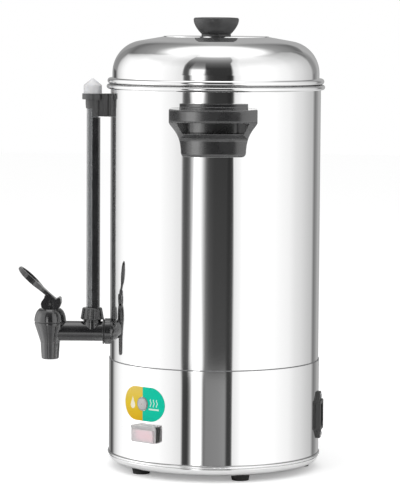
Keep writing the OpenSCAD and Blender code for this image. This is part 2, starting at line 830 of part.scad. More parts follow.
// A six-sided tube swept along the spring's helix, closed at both ends.
module stem_spring() {
    steps = 14 * spring_turns;
    sides = 6;
    wire_r = spring_wire_d / 2;
    rise = spring_z1 - spring_z0 - spring_wire_d;
    points = [for (i = [0:steps], k = [0:sides - 1])
        let (a = 360 * spring_turns * i / steps, b = 360 * k / sides, r = spring_r + wire_r * cos(b))
        [tap_x + r * cos(a), r * sin(a), spring_z0 + wire_r + rise * i / steps + wire_r * sin(b)]];
    skin = [for (i = [0:steps - 1], k = [0:sides - 1])
        [i * sides + k, (i + 1) * sides + k, (i + 1) * sides + (k + 1) % sides, i * sides + (k + 1) % sides]];
    ends = [[for (k = [0:sides - 1]) k], [for (k = [sides - 1:-1:0]) steps * sides + k]];
    color("silver") polyhedron(points, concat(skin, ends));
}

lever_hub_w = 17;
lever_heel = 9.8;
lever_toe = 12;
lever_notch = 1.5;
toe_r = 2;
toe_h = 9.9;
z_hub = z_bonnet_top + move_gap;
blade_low = 4.1;
blade_top = 10.4;

// Side outline of the lever's hub about the pin, as X and Z. The heel bears on the bonnet.
module hub_outline() {
    low = z_hub - z_pin;
    heel = [[-lever_heel + 3.3, low], [-lever_heel + 0.5, low + 0.4],
            [-lever_heel - 1.2, low + 6.3], [-lever_heel + 2.6, low + 9.7]];
    polygon(concat(
        [for (i = [0:8]) bezier(heel, i / 8)],
        [[-lever_heel + 4, low + 11.9], [-lever_heel + 4.3, low + 13.9], [-2, low + 15.8], [5.8, low + 10.1]],
        arc(lever_toe - toe_r - 0.4, low + toe_h, toe_r, 150, 0, 6),
        [[lever_toe, low + 5.9], [lever_toe - 1.4, low + 1.9], [lever_toe - 3.2, low]]
    ));
}

// Side outline of the lever's blade about the pin, as length and height above the pin.
module blade_outline() {
    l = lever_l;
    lower = [[6, blade_low], [0.4 * l, blade_low], [0.86 * l, blade_low - 0.6], [l - 0.4, blade_low + 2.9]];
    upper = [[l - 1, blade_top - 0.5], [0.8 * l, blade_top + 0.5], [0.5 * l, blade_top - 0.4],
             [0.32 * l, blade_top - 2.1]];
    polygon(concat(
        [for (i = [0:8]) bezier(lower, i / 8)],
        [[l, blade_low + 4.2]],
        [for (i = [0:6]) bezier(upper, i / 6)],
        [[-3, blade_top - 2.4], [-3, 0]]
    ));
}

// Plan outline of the blade: a narrow neck that widens to a round finger plate.
module blade_plan() {
    l = lever_l;
    w = lever_w / 2;
    edge = [[0.2 * l, 4.7], [0.42 * l, 4.7], [0.44 * l, w], [0.6 * l, w]];
    half = concat(
        [[-4, 5]],
        [for (i = [0:8]) bezier(edge, i / 8)],
        [for (i = [0:7]) [l * (0.74 + 0.26 * sin(90 * i / 8)), w * cos(90 * i / 8)]],
        [[l, 0]]
    );
    polygon(concat(half, [for (i = [len(half) - 2:-1:0]) [half[i][0], -half[i][1]]]));
}

module lever_blade() {
    dish_l = 0.46 * lever_l;
    difference() {
        intersection() {
            translate([0, lever_w, 0]) rotate([90, 0, 0]) linear_extrude(2 * lever_w) blade_outline();
            linear_extrude(2 * blade_top) blade_plan();
        }
        translate([0.71 * lever_l, 0, blade_top - 2]) linear_extrude(blade_top)
            scale_oval(dish_l, lever_w - 6);
    }
}

module tap_lever() {
    low = z_hub - z_pin;
    slot_x = stem_d / 2 + move_gap;
    color(black) translate([tap_x, 0, z_pin]) difference() {
        union() {
            translate([0, lever_hub_w / 2, 0]) rotate([90, 0, 0]) linear_extrude(lever_hub_w) hub_outline();
            rotate([0, 180 + lever_rise, 0]) mirror([0, 0, 1]) lever_blade();
        }
        translate([0, lever_hub_w, 0]) rotate([90, 0, 0])
            cylinder(d = pin_d + 2 * run_gap, h = 2 * lever_hub_w);
        translate([-slot_x - 5.2, -tongue_t / 2 - move_gap, low - 1])
            cube([2 * slot_x + 5.2, tongue_t + 2 * move_gap, slot_x + move_gap + 1 - low]);
        for (side = [-1, 1])
            translate([-0.2, side * lever_hub_w / 2 - lever_notch, low - 1])
                cube([3.6, 2 * lever_notch, 9.7]);
    }
}

// A stadium of the given length and width, centred.
module scale_oval(l, w) {
    square([l - w > 0 ? l - w : 0.1, w], center = true);
    for (s = [-1, 1]) translate([s * max(l - w, 0.1) / 2, 0]) circle(d = w);
}

module lever_pin() {
    color("silver") translate([tap_x, (lever_hub_w - 2) / 2, z_pin])
        rotate([90, 0, 0]) cylinder(d = pin_d, h = lever_hub_w - 2);
}

// ---------------------------------------------------------------- shank and sight gauge

boss_r = shank_r - 0.35;
z_boss = z_tap + 12.3;
gauge_neck_r = 8.8;
z_gauge_neck = z_boss + 8;
glass_r = glass_d / 2;
z_glass = z_boss + 2.4;
shank_in = 14;
locknut_h = 7;

// The boss stands saddle-like on the shank and ends in the threaded neck for the nut.
module boss_section() {
    polygon([
        [0, z_tap], [boss_r, z_tap], [boss_r, z_boss - 1.9], [boss_r - 0.8, z_boss - 1.6],
        [boss_r - 1, z_boss], [gauge_neck_r, z_boss], [gauge_neck_r, z_gauge_neck], [0, z_gauge_neck]
    ]);
}

module shank_gasket() {
    color("black") difference() {
        shank_rod(flange_x + flange_t + seat_gap, flange_x + flange_t + gasket_t, shank_flange_d - 2.6);
        shank_rod(flange_x, flange_x + 20, shank_thread_d + 2 * seat_gap);
    }
}

// The washer's inner face follows the round tank wall.
module shank_washer() {
    color(black) difference() {
        shank_rod(flange_x + flange_t + gasket_t + seat_gap, -tank_r + 2, shank_flange_d);
        shank_rod(flange_x, -tank_r + 10, shank_thread_d + 2 * seat_gap);
        translate([0, 0, z_tap - shank_flange_d])
            cylinder(r = tank_r + seat_gap, h = 2 * shank_flange_d, $fn = 180);
    }
}

module shank_locknut() {
    x0 = -tank_ri + 1.3;
    color("silver") difference() {
        union() {
            translate([x0, 0, z_tap]) rotate([0, 90, 0]) cylinder(d = 23 / cos(30), h = locknut_h, $fn = 6);
            shank_rod(x0, x0 + 1.4, 26);
        }
        shank_rod(x0 - 1, x0 + locknut_h + 1, shank_thread_d + 2 * seat_gap);
    }
}

z_nut = z_boss + 0.6;
z_nut_top = z_nut + gauge_nut_h;
nut_top_r = gauge_nut_d / 2 - 1.95;

module gauge_nut() {
    foot_r = gauge_nut_d / 2;
    lean = atan((foot_r - nut_top_r) / gauge_nut_h);
    color(black) translate([gauge_x, 0, z_nut]) difference() {
        union() {
            cylinder(r1 = foot_r - 0.6, r2 = foot_r, h = 0.8);
            translate([0, 0, 0.8]) cylinder(r1 = foot_r, r2 = nut_top_r, h = gauge_nut_h - 1.4);
            translate([0, 0, gauge_nut_h - 0.6]) cylinder(r1 = nut_top_r, r2 = nut_top_r - 0.6, h = 0.6);
        }
        translate([0, 0, -1])
            cylinder(r = gauge_neck_r + 2 * seat_gap, h = z_gauge_neck - z_nut + 1 + seal_h + 2 * seat_gap);
        translate([0, 0, -1]) cylinder(r = glass_r + hole_gap, h = gauge_nut_h + 2);
        for (i = [0:nut_flutes - 1])
            rotate([0, 0, (i + 0.5) * 360 / nut_flutes]) translate([foot_r + 0.35, 0, 0])
                rotate([0, -lean, 0]) translate([0, 0, -1]) cylinder(d = 2, h = gauge_nut_h + 3, $fn = 16);
    }
}

seal_h = 2;

// A silicone ring packs the glass under the nut.
module gauge_seal() {
    color("ivory") translate([gauge_x, 0, z_gauge_neck + seat_gap]) difference() {
        cylinder(r = gauge_neck_r, h = seal_h);
        translate([0, 0, -1]) cylinder(r = glass_r + seat_gap, h = seal_h + 2);
    }
}

z_bracket_top = z_rim - 5.5;
z_bracket = z_bracket_top - bracket_h;

module sight_glass() {
    color("lightblue", 0.4) translate([gauge_x, 0, z_glass + seat_gap]) difference() {
        cylinder(r = glass_r, h = z_bracket_top - 3 - z_glass - 2 * seat_gap);
        translate([0, 0, -1]) cylinder(r = glass_r - glass_wall, h = z_bracket_top);
    }
}

// A channel clipped to the tank side of the glass; its mouth faces away from the tank.
module glass_shield() {
    z0 = z_nut_top + move_gap;
    w = shield_w / 2;
    inner = glass_r + seat_gap;
    x0 = 0.2;
    x1 = w - x0;
    corner = 2;
    color(black) translate([gauge_x, 0, z0]) linear_extrude(z_bracket - shield_gap - z0) difference() {
        union() {
            translate([x0, -w]) square([x1 - corner - x0, 2 * w]);
            translate([x0, -w + corner]) square([x1 - x0, 2 * (w - corner)]);
            for (s = [-1, 1]) translate([x1 - corner, s * (w - corner)]) circle(r = corner);
        }
        translate([x0 - 1, -inner]) square([inner + 1 - x0, 2 * inner]);
    }
}

shield_gap = 1.3;
bracket_screw_d = 4;
bracket_screw_z = [z_bracket + 0.28 * bracket_h, z_bracket + 0.72 * bracket_h];
bracket_disc_t = 6;
bracket_shell_r = 8.9;
bracket_socket_r = 7.5;

// A socket for the glass's top under the disc, a half shell behind the glass, and a ribbed
// neck that ends in the pad on the tank.
module gauge_bracket() {
    z_disc = z_bracket_top - bracket_disc_t;
    collar_h = 4.9;
    cone_h = 4.6;
    x_pad = gauge_reach - 1.8;
    // Start, end and width of the neck, of its rib and of its pad, from the glass's axis
    steps = [[4, x_pad + 1, 10], [12, x_pad - 0.9, 14], [x_pad, gauge_reach + 2, 18]];
    color(black) difference() {
        union() {
            translate([gauge_x, 0, z_disc]) cylinder(d = bracket_disc_d, h = bracket_disc_t);
            translate([gauge_x, 0, z_disc - collar_h]) cylinder(r = bracket_socket_r, h = collar_h + 1);
            translate([gauge_x, 0, z_disc - collar_h - cone_h])
                cylinder(r1 = glass_r + 0.8, r2 = bracket_socket_r, h = cone_h);
            intersection() {
                translate([gauge_x, 0, z_bracket]) cylinder(r = bracket_shell_r, h = bracket_h - 1);
                translate([gauge_x + 0.2, -bracket_disc_d, z_bracket])
                    cube([gauge_reach, 2 * bracket_disc_d, bracket_h]);
            }
            for (step = steps)
                translate([gauge_x + step[0], -step[2] / 2, z_bracket])
                    cube([step[1] - step[0], step[2], bracket_h]);
        }
        translate([gauge_x, 0, z_bracket - 1]) cylinder(r = glass_r + seat_gap, h = bracket_h - 3 + 1);
        translate([gauge_x, 0, z_bracket - 1]) cylinder(r = plug_stem_r + seat_gap, h = bracket_h + 3);
        translate([0, 0, z_bracket - 1]) cylinder(r = tank_r + seat_gap, h = bracket_h + 2, $fn = 180);
        for (z = bracket_screw_z)
            at_az(-90, tank_r - 1, z) rod_out(bracket_screw_d + 2 * run_gap, 9);
    }
}

module bracket_screws() {
    color("silver") for (z = bracket_screw_z)
        at_az(-90, tank_ri, z) wall_screw(bracket_screw_d, 6);
}

plug_stem_r = glass_r - glass_wall - 0.4;

module vent_plug() {
    z0 = z_bracket_top + seat_gap;
    r = plug_d / 2;
    wall_top = z0 + 0.59 * plug_h;
    color("white") translate([gauge_x, 0, 0]) rotate_extrude() polygon([
        [0, z0 - 9], [plug_stem_r - 0.6, z0 - 9], [plug_stem_r, z0 - 8], [plug_stem_r, z0],
        [r, z0], [r, wall_top - 1], [r - 0.5, wall_top], [r - 1.2, wall_top + 0.4],
        [1, z0 + plug_h - 0.4], [0, z0 + plug_h]
    ]);
}

// ---------------------------------------------------------------- controls

label_t = 0.4;

module control_label() {
    color("gold") intersection() {
        rotate([0, 0, panel_az - 90 - 25]) rotate_extrude(angle = 50)
            translate([base_ro + seat_gap, label_z - label_h]) square([label_t, 2 * label_h]);
        at_az(panel_az, base_ro - 20, label_z) rotate([90, 0, 0]) linear_extrude(30) difference() {
            scale_oval(label_w, label_h);
            circle(d = lamp_ring_d + 2 * hole_gap);
        }
    }
}

lamp_seat_r = base_ro + seat_gap;
lamp_ring_d = lamp_d + 2;
lamp_ring_t = 1;

module lamp_lens() {
    r = lamp_d / 2;
    foot = lamp_ring_t + seat_gap;
    section = concat(
        [[0, foot], [r, foot]],
        [for (i = [0:5]) [r * cos(14 * i), foot + 0.3 + 0.8 * sin(14 * i)]],
        [[0, foot + 1.15]]
    );
    color("mistyrose") at_az(panel_az, lamp_seat_r, label_z)
        rotate([90, 0, 0]) rotate_extrude() polygon(section);
}

module lamp_holder() {
    color("dimgray") at_az(panel_az, lamp_seat_r, label_z) difference() {
        union() {
            translate([0, 0.3, 0]) rod_out(lamp_ring_d, lamp_ring_t + 0.3);
            rod_in(lamp_hole_d, 18);
            translate([0, sheet + 0.5, 0]) rod_in(lamp_hole_d + 4, 2.5);
        }
        cylinder_void(base_ri, base_ro);
    }
}

// The ring that the housing's wall takes up, in the local frame of a panel piece.
module cylinder_void(r0, r1) {
    translate([0, lamp_seat_r, 0]) difference() {
        cylinder(r = r1 + seat_gap, h = 60, center = true, $fn = 180);
        cylinder(r = r0 - seat_gap, h = 62, center = true, $fn = 180);
        rotate([90, 0, 0]) cylinder(d = lamp_hole_d, h = 2 * r1);
    }
}

switch_in_l = switch_l - 3.4;
switch_in_w = switch_w - 1.8;
rocker_l = switch_l - 7.4;
rocker_w = switch_w - 5.5;
rocker_drop = 1.5;
rocker_pivot = 3;
rocker_pin_d = 2.4;
rocker_face = rocker_pivot + switch_proud - 0.4;
pocket_depth = 10;
switch_depth = 21;
rocker_z = switch_z - rocker_drop;

// How far the rocker's tilted end reaches out of the housing, and along it.
rocker_reach = rocker_face * cos(rocker_tilt) + rocker_l / 2 * sin(rocker_tilt) - rocker_pivot;
rocker_swing = rocker_face * sin(rocker_tilt) + rocker_l / 2 * cos(rocker_tilt);
pocket_l = 2 * (rocker_swing + move_gap);

// Rounded block that points outwards, from y0 inside to y1 outside.
module block_out(l, w, r, y0, y1) {
    translate([0, y0, 0]) rotate([90, 0, 0]) linear_extrude(y0 - y1) round_rect(l, w, r);
}

module switch_body() {
    color(black) at_az(switch_az, base_ro, switch_z) difference() {
        union() {
            difference() {
                block_out(switch_l, switch_w, 1.2, 3, -switch_proud);
                translate([0, base_ro, 0]) cylinder(r = base_ro + seat_gap, h = 60, center = true, $fn = 180);
            }
            block_out(switch_in_l, switch_in_w, 0.6, switch_depth, -0.5);
            for (s = [-1, 0, 1])
                translate([s * 8 - 0.4, switch_depth - 1, -3.15]) cube([0.8, 9, 6.3]);
        }
        translate([0, 0, -rocker_drop])
            block_out(pocket_l, rocker_w + 2 * move_gap, 0.4, pocket_depth, -switch_proud - 1);
    }
    color(black) at_az(switch_az, base_ro - rocker_pivot, rocker_z)
        cylinder(d = rocker_pin_d, h = rocker_w + 2 * move_gap + 0.4, center = true);
}

// Plan outline of the rocker about its pivot.
module rocker_outline() {
    h = rocker_l / 2;
    face = -rocker_face;
    polygon([
        [-h, face], [-0.5 * h, face + 1.2], [0, face + 1.6], [0.5 * h, face + 1.2], [h, face],
        [h - 0.5, -1.6], [5.2, 3.2], [-5.2, 3.2], [-h + 0.5, -1.6]
    ]);
}

module switch_rocker() {
    color("indianred") at_az(switch_az, base_ro - rocker_pivot, rocker_z) rotate([0, 0, -rocker_tilt])
        difference() {
            translate([0, 0, -rocker_w / 2]) linear_extrude(rocker_w) rocker_outline();
            translate([0, 0, -rocker_w]) cylinder(d = rocker_pin_d + 2 * run_gap, h = 2 * rocker_w);
        }
}

boot_l = switch_l + 2 * (seat_gap + boot_wall);
boot_w = switch_w + 2 * (seat_gap + boot_wall);
boot_h = switch_proud + seat_gap + boot_wall;

// The clear cover is a skin over the switch's frame, with a hollow bulge over the rocker
// and a drip ridge along the top.
module splash_cover() {
    r = 2;
    frame_l = switch_l + 2 * seat_gap;
    frame_w = switch_w + 2 * seat_gap;
    window_w = rocker_w + 4 * move_gap;
    roof = rocker_reach + 2 * move_gap;
    color("whitesmoke", 0.5) at_az(switch_az, base_ro, switch_z) difference() {
        union() {
            block_out(boot_l, boot_w, r, 3, -boot_h);
            translate([0, 0, -rocker_drop])
                block_out(pocket_l + 2 * boot_wall, window_w + 2 * boot_wall, r, 0, -roof - boot_wall);
            translate([0, 0, (boot_w - boot_ridge_h) / 2])
                block_out(boot_l, boot_ridge_h, r, 0, -boot_h - boot_wall);
        }
        block_out(frame_l, frame_w, r - boot_wall, 4, -switch_proud - seat_gap);
        translate([0, 0, -rocker_drop]) block_out(pocket_l, window_w, r - boot_wall, 4, -roof);
        translate([0, base_ro, 0]) cylinder(r = base_ro + seat_gap, h = 60, center = true, $fn = 180);
    }
}

// ---------------------------------------------------------------- power inlet

inlet_body_l = inlet_l - 3;
inlet_body_w = inlet_w - 3.6;
inlet_flange_t = 2.8;
inlet_shroud_t = 4.4;
inlet_screw_d = 3;
socket_l = inlet_l - 7;
socket_w = inlet_w - 8;
socket_depth = 17;
inlet_depth = 20;

// Flange with tapered ears, as width and height.
module inlet_flange() {
    w = inlet_w / 2 - 1;
    e = 5;
    square([2 * w, inlet_l], center = true);
    polygon([[-w, -inlet_l / 2], [w, -inlet_l / 2], [e, -inlet_flange_l / 2], [-e, -inlet_flange_l / 2]]);
    polygon([[-w, inlet_l / 2], [w, inlet_l / 2], [e, inlet_flange_l / 2], [-e, inlet_flange_l / 2]]);
}

module power_inlet() {
    color(black) at_az(inlet_az, base_ro, inlet_z) difference() {
        union() {
            difference() {
                union() {
                    translate([0, 3, 0]) rotate([90, 0, 0]) linear_extrude(inlet_flange_t + 3) inlet_flange();
                    block_out(inlet_w, inlet_l, 2, 3, -inlet_shroud_t);
                }
                translate([0, base_ro, 0])
                    cylinder(r = base_ro + seat_gap, h = 2 * inlet_flange_l, center = true, $fn = 180);
            }
            block_out(inlet_body_w, inlet_body_l, 1, inlet_depth, -1);
        }
        translate([0, socket_depth - inlet_shroud_t, 0]) rotate([90, 0, 0])
            linear_extrude(socket_depth + 1) socket_outline();
        for (side = [-1, 1])
            translate([0, 10, side * inlet_pitch / 2]) rod_out(inlet_screw_d + 2 * run_gap, 20);
        for (p = inlet_pin_places)
            translate([p[0] - 1 - seat_gap, 10, p[1] - 2 - seat_gap])
                cube([2 + 2 * seat_gap, 20, 4 + 2 * seat_gap]);
    }
}

// The socket's outline: two of its corners are cut off.
module socket_outline() {
    l = socket_l / 2;
    w = socket_w / 2;
    c = 4;
    polygon([[-w, -l], [w - c, -l], [w, -l + c], [w, l - c], [w - c, l], [-w, l]]);
}

inlet_pin_places = [[-2, -7], [-2, 7], [2, 0]];

module inlet_pins() {
    color("silver") at_az(inlet_az, base_ro, inlet_z) for (p = inlet_pin_places)
        translate([p[0] - 1, -2, p[1] - 2]) cube([2, inlet_depth + 10, 4]);
}

module inlet_screws() {
    color("silver") at_az(inlet_az, base_ro, inlet_z) for (side = [-1, 1])
        translate([0, 0, side * inlet_pitch / 2]) {
            translate([0, -inlet_flange_t - seat_gap, 0]) rod_out(5.6, 1.6);
            translate([0, sheet + 4.5, 0]) rod_out(inlet_screw_d, sheet + 4.5 + inlet_flange_t + 0.5);
            translate([0, sheet + 2 * seat_gap + 0.2, 0]) rod_in(5.5, 2.4);
        }
}

// ---------------------------------------------------------------- heater and controls inside

z_heater = z_floor - sheet - seat_gap - heater_t;
heater_ring_r = 0.36 * heater_d;
terminal_az = 20;
heater_lead_h = 0.18 * heater_d;
blade_w = 6.3;
blade_t = 0.8;
blade_l = 8;

// A flat terminal that hangs down from z = 0 and is sunk into its piece by bite.
module blade_terminal(bite) {
    translate([-blade_t / 2, -blade_w / 2, -blade_l]) cube([blade_t, blade_w, blade_l + bite]);
}

module heating_element() {
    color("darkgray") difference() {
        union() {
            translate([0, 0, z_heater]) cylinder(d = heater_d, h = heater_t);
            translate([0, 0, z_heater - heater_tube_d / 2 + 0.5]) rotate([0, 0, -90 + terminal_az])
                rotate_extrude(angle = 360 - 2 * terminal_az)
                    translate([heater_ring_r, 0]) circle(d = heater_tube_d);
            for (s = [-1, 1])
                at_az(s * terminal_az, heater_ring_r, z_heater - heater_lead_h) {
                    cylinder(d = heater_tube_d - 2, h = heater_lead_h);
                    blade_terminal(2);
                }
        }
        for (a = [0, 180])
            at_az(a, thermostat_off, z_heater - 1) cylinder(d = 3, h = 3);
    }
}

thermostat_off = 17;

// A disc thermostat with its flange and two blade terminals, pressed to the heating plate.
module disc_thermostat() {
    cap_h = 4;
    body_h = 9;
    translate([0, 0, -cap_h]) cylinder(d = thermostat_d, h = cap_h - seat_gap);
    translate([0, 0, -cap_h - body_h]) cylinder(d = thermostat_d - 3, h = body_h + 0.5);
    for (s = [-1, 1])
        translate([s * 4.5, 0, -cap_h - body_h]) blade_terminal(1);
}

module boil_thermostat() {
    color("saddlebrown") at_az(0, thermostat_off, z_heater) disc_thermostat();
}

module dry_boil_cutout() {
    color("white") at_az(180, thermostat_off, z_heater) disc_thermostat();
}

module terminal_block() {
    l = 34;
    w = 20;
    h = 17;
    color("ivory") at_az(0, 40, z_tray + sheet + seat_gap) difference() {
        translate([-l / 2, -w / 2, 0]) cube([l, w, h]);
        for (x = [-1, 0, 1]) {
            translate([x * 11, 0, 6]) cylinder(d = 5, h = h);
            translate([x * 11, w, 7]) rotate([90, 0, 0]) cylinder(d = 4.4, h = 2 * w);
        }
    }
}

tank();
seam_seal();
base_housing();
bottom_tray();
feet();
foot_screws();
tie_studs();
tie_nuts();
lid_dome();
lid_knob();
knob_screw();
front_handle();
rear_handle();
handle_screws();
shank_gasket();
shank_washer();
shank_locknut();
tap_body();
tap_spout();
tap_bonnet();
tap_stem();
stem_spring();
seat_cup();
tap_lever();
lever_pin();
gauge_nut();
gauge_seal();
sight_glass();
glass_shield();
gauge_bracket();
bracket_screws();
vent_plug();
control_label();
lamp_lens();
lamp_holder();
switch_body();
switch_rocker();
splash_cover();
power_inlet();
inlet_pins();
inlet_screws();
heating_element();
boil_thermostat();
dry_boil_cutout();
terminal_block();
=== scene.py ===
# %% [markdown]
# # A hot water urn in polished steel
# The urn is a tall tank over a heated base, with a loose domed lid, two black
# side handles, a lever tap, and a sight glass that shows how full it is. The
# solid model already holds every rigid piece in its place. What is made here is
# the camera, the studio that polished steel needs round it, the materials, and
# the few pieces whose fine shape is easier to grow by a rule: screws and a spring.

# %% Load the solid model
import math
import bpy
import bmesh
from mathutils import Matrix, Vector


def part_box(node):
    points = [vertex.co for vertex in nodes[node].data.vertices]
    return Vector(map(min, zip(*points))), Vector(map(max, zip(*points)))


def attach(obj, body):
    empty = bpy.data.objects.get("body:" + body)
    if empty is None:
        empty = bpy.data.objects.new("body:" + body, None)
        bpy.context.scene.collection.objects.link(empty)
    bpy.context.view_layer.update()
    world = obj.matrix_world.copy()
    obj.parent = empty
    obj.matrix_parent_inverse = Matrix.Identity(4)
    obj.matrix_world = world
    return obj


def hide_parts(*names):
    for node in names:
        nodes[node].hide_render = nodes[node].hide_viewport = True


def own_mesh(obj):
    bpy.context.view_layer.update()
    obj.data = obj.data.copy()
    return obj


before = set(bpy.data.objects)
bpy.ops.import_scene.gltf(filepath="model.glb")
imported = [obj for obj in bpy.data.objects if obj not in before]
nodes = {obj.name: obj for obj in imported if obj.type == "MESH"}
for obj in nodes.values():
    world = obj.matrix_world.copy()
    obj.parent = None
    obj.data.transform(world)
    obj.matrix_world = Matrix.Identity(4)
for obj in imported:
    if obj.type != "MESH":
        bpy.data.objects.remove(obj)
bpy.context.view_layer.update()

MM = 0.001


# %% [markdown]
# ## Directions round the urn
# Nearly everything sits on the wall of a cylinder, so a place is easiest to give
# as an angle round the axis, a radius and a height. Angle 0 faces the viewer,
# along -Y, and the angle grows towards +X. `outward` is the way the wall faces
# there, and `rightward` runs along the wall, to the right for someone facing it.

# %% Angles and places on the wall
def outward(angle):
    a = math.radians(angle)
    return Vector((math.sin(a), -math.cos(a), 0))


def rightward(angle):
    a = math.radians(angle)
    return Vector((math.cos(a), math.sin(a), 0))


def on_wall(angle, radius_mm, height_mm):
    return outward(angle) * radius_mm * MM + Vector((0, 0, height_mm * MM))


print("the tap faces", [round(v, 3) for v in outward(-90)])


# %% [markdown]
# ## The camera
# A product picture is taken from well back with a long lens, so that the sides
# of the tank stay nearly parallel. The camera here stands 2.77 m from the axis,
# a little above the lid, and looks down by about five degrees. Its three axes
# are worked out first, which leaves no doubt about how it is turned.

# %% Camera
def new_object(name, data):
    thing = bpy.data.objects.new(name, data)
    bpy.context.collection.objects.link(thing)
    return thing


LENS_MM = 189.96
CAMERA_DISTANCE = 2.76614
CAMERA_HEIGHT = 0.4828
CAMERA_ANGLE = 1.0
PITCH, YAW, ROLL = 0.09163, -0.005624, -0.006186


def camera_axes():
    forward = Vector((math.sin(YAW) * math.cos(PITCH), math.cos(YAW) * math.cos(PITCH),
                      -math.sin(PITCH)))
    level = Vector((math.cos(YAW), -math.sin(YAW), 0))
    down = forward.cross(level)
    right = math.cos(ROLL) * level + math.sin(ROLL) * down
    down = -math.sin(ROLL) * level + math.cos(ROLL) * down
    turn = Matrix.Rotation(math.radians(CAMERA_ANGLE), 3, "Z")
    return turn @ right, turn @ -down, turn @ -forward


camera_data = bpy.data.cameras.new("camera")
camera_data.lens = LENS_MM
camera_data.sensor_width = 36
camera = new_object("camera", camera_data)
pose = Matrix(camera_axes()).transposed().to_4x4()
pose.translation = on_wall(CAMERA_ANGLE, CAMERA_DISTANCE / MM, CAMERA_HEIGHT / MM)
camera.matrix_world = pose
bpy.context.scene.camera = camera
bpy.context.scene.view_settings.view_transform = "Standard"
print("camera at", [round(v, 3) for v in camera.location])


# %% [markdown]
# ## A short way to wire nodes
# Materials, the studio and the geometry rules below are all node trees. Building
# one in a script takes a node, its plain values and its wires, over and over, so
# a few small helpers do that. What is `given` to them may be a plain number or
# another node's output.

# %% Node helpers
def feed(tree, socket, given):
    if isinstance(given, bpy.types.NodeSocket):
        tree.links.new(given, socket)
    else:
        socket.default_value = given


def fill(tree, node, **inputs):
    for key, given in inputs.items():
        feed(tree, node.inputs[key.replace("_", " ")], given)


def add(tree, kind, settings=None, **inputs):
    node = tree.nodes.new(kind)
    for key, setting in (settings or {}).items():
        setattr(node, key, setting)
    fill(tree, node, **inputs)
    return node


def maths(tree, operation, *amounts):
    node = add(tree, "ShaderNodeMath", {"operation": operation})
    for socket, given in zip(node.inputs, amounts):
        feed(tree, socket, given)
    return node.outputs[0]


def times(tree, first, *others):
    for other in others:
        first = maths(tree, "MULTIPLY", first, other)
    return first


def larger(tree, first, second):
    return maths(tree, "MAXIMUM", first, second)


def distance(tree, first, second):
    return maths(tree, "ABSOLUTE", maths(tree, "SUBTRACT", first, second))


def between(tree, amount, low, high):
    above = maths(tree, "GREATER_THAN", amount, low)
    return times(tree, above, maths(tree, "LESS_THAN", amount, high))


def either(tree, first, second, second_if):
    """first where second_if is 0, second where it is 1."""
    return maths(tree, "MULTIPLY_ADD", maths(tree, "SUBTRACT", second, first), second_if, first)


def ramp(tree, factor, stops):
    node = add(tree, "ShaderNodeValToRGB", Fac=factor)
    elements = node.color_ramp.elements
    while len(elements) < len(stops):
        elements.new(0.5)
    for element, (place, shade) in zip(elements, stops):
        element.position = place
        element.color = (*shade, 1) if isinstance(shade, tuple) else (shade, shade, shade, 1)
    return node.outputs["Color"]


def spread(tree, amount, low, high, to_low=0.0, to_high=1.0, smooth=False):
    node = add(tree, "ShaderNodeMapRange", {"interpolation_type": "SMOOTHSTEP" if smooth else "LINEAR"},
               Value=amount, From_Min=low, From_Max=high, To_Min=to_low, To_Max=to_high)
    return node.outputs["Result"]


print("node helpers ready")


# %% Places on a piece, as nodes
UP, DOWN = Vector((0, 0, 1)), Vector((0, 0, -1))


def object_place(tree):
    return add(tree, "ShaderNodeTexCoord").outputs["Object"]


def vector_maths(tree, operation, *vectors):
    node = add(tree, "ShaderNodeVectorMath", {"operation": operation})
    for socket, given in zip(node.inputs, vectors):
        feed(tree, socket, given)
    return node.outputs


def length_of(tree, vector):
    return vector_maths(tree, "LENGTH", vector)["Value"]


def along(tree, direction):
    """How far a point lies along a direction, in millimetres."""
    return vector_maths(tree, "DOT_PRODUCT", object_place(tree), direction / MM)["Value"]


print("place helpers ready")


# %% [markdown]
# ## The studio, drawn as light by direction
# Polished steel has no colour of its own: it shows the room. A studio for such a
# tank stands two broad white softboxes at its sides, a narrow white strip just
# left of the camera, one big box overhead, and leaves the room dark between them.
# The tank's wall is a mirror bent round one axis, so those boxes turn into
# upright bands. Real cards would also stand in other views, so here a world gives
# each mirrored direction its brightness, from tables of angles in degrees. Rays
# that carry plain light see one even level, so colours stay as they are mixed.

# %% The bands round the horizon, as (angle, brightness)
LEFT_BANDS = [
    (-180, .35), (-160, .30), (-155, .12), (-151, .055), (-147, .10), (-143, .31), (-139, .57),
    (-131, .79), (-123, .94), (-115, 1), (-62, 1), (-54, .93), (-46, .87), (-40, .80)]
FRONT_BANDS = [
    (-40, .80), (-36.4, .78), (-35.6, .62), (-34.4, .20), (-33, .10), (-31, .075), (-29.2, .085),
    (-28, .15), (-27, .5), (-25.8, .72), (-25, 1), (-13, 1), (-12, .9), (-10.8, .5), (-9.6, .2),
    (-8, .13), (-5, .078), (0, .056), (12, .054), (14, .042), (16, .036), (18.5, .06), (19.8, .12),
    (20.8, .5), (21.6, .74), (23.5, .84), (27, .91), (30, 1), (40, 1)]
LOW_BANDS = [
    (-40, .80), (-35.6, .76), (-34.6, .60), (-33.2, .09), (-32, .05), (-28.5, .04), (-27.2, .08),
    (-26, .2), (-25, .33), (-24.2, .6), (-23.4, 1), (-13.2, 1), (-12.2, .66), (-11.2, .24), (-10.2, .16),
    (-8, .205), (-4, .21), (5, .225), (11.5, .255), (12.8, .24), (14, .11), (15.2, .042), (18.4, .042),
    (19.6, .10), (20.4, .32), (21, .80), (24, .85), (27, .91), (30.5, 1), (40, 1)]
RIGHT_BANDS = [
    (40, 1), (68, 1), (80, .93), (90, .88), (100, .76), (110, .69), (121, .59), (129, .53),
    (134, .51), (137, .35), (141, .17), (145, .22), (150, .28), (157, .40), (180, .36)]

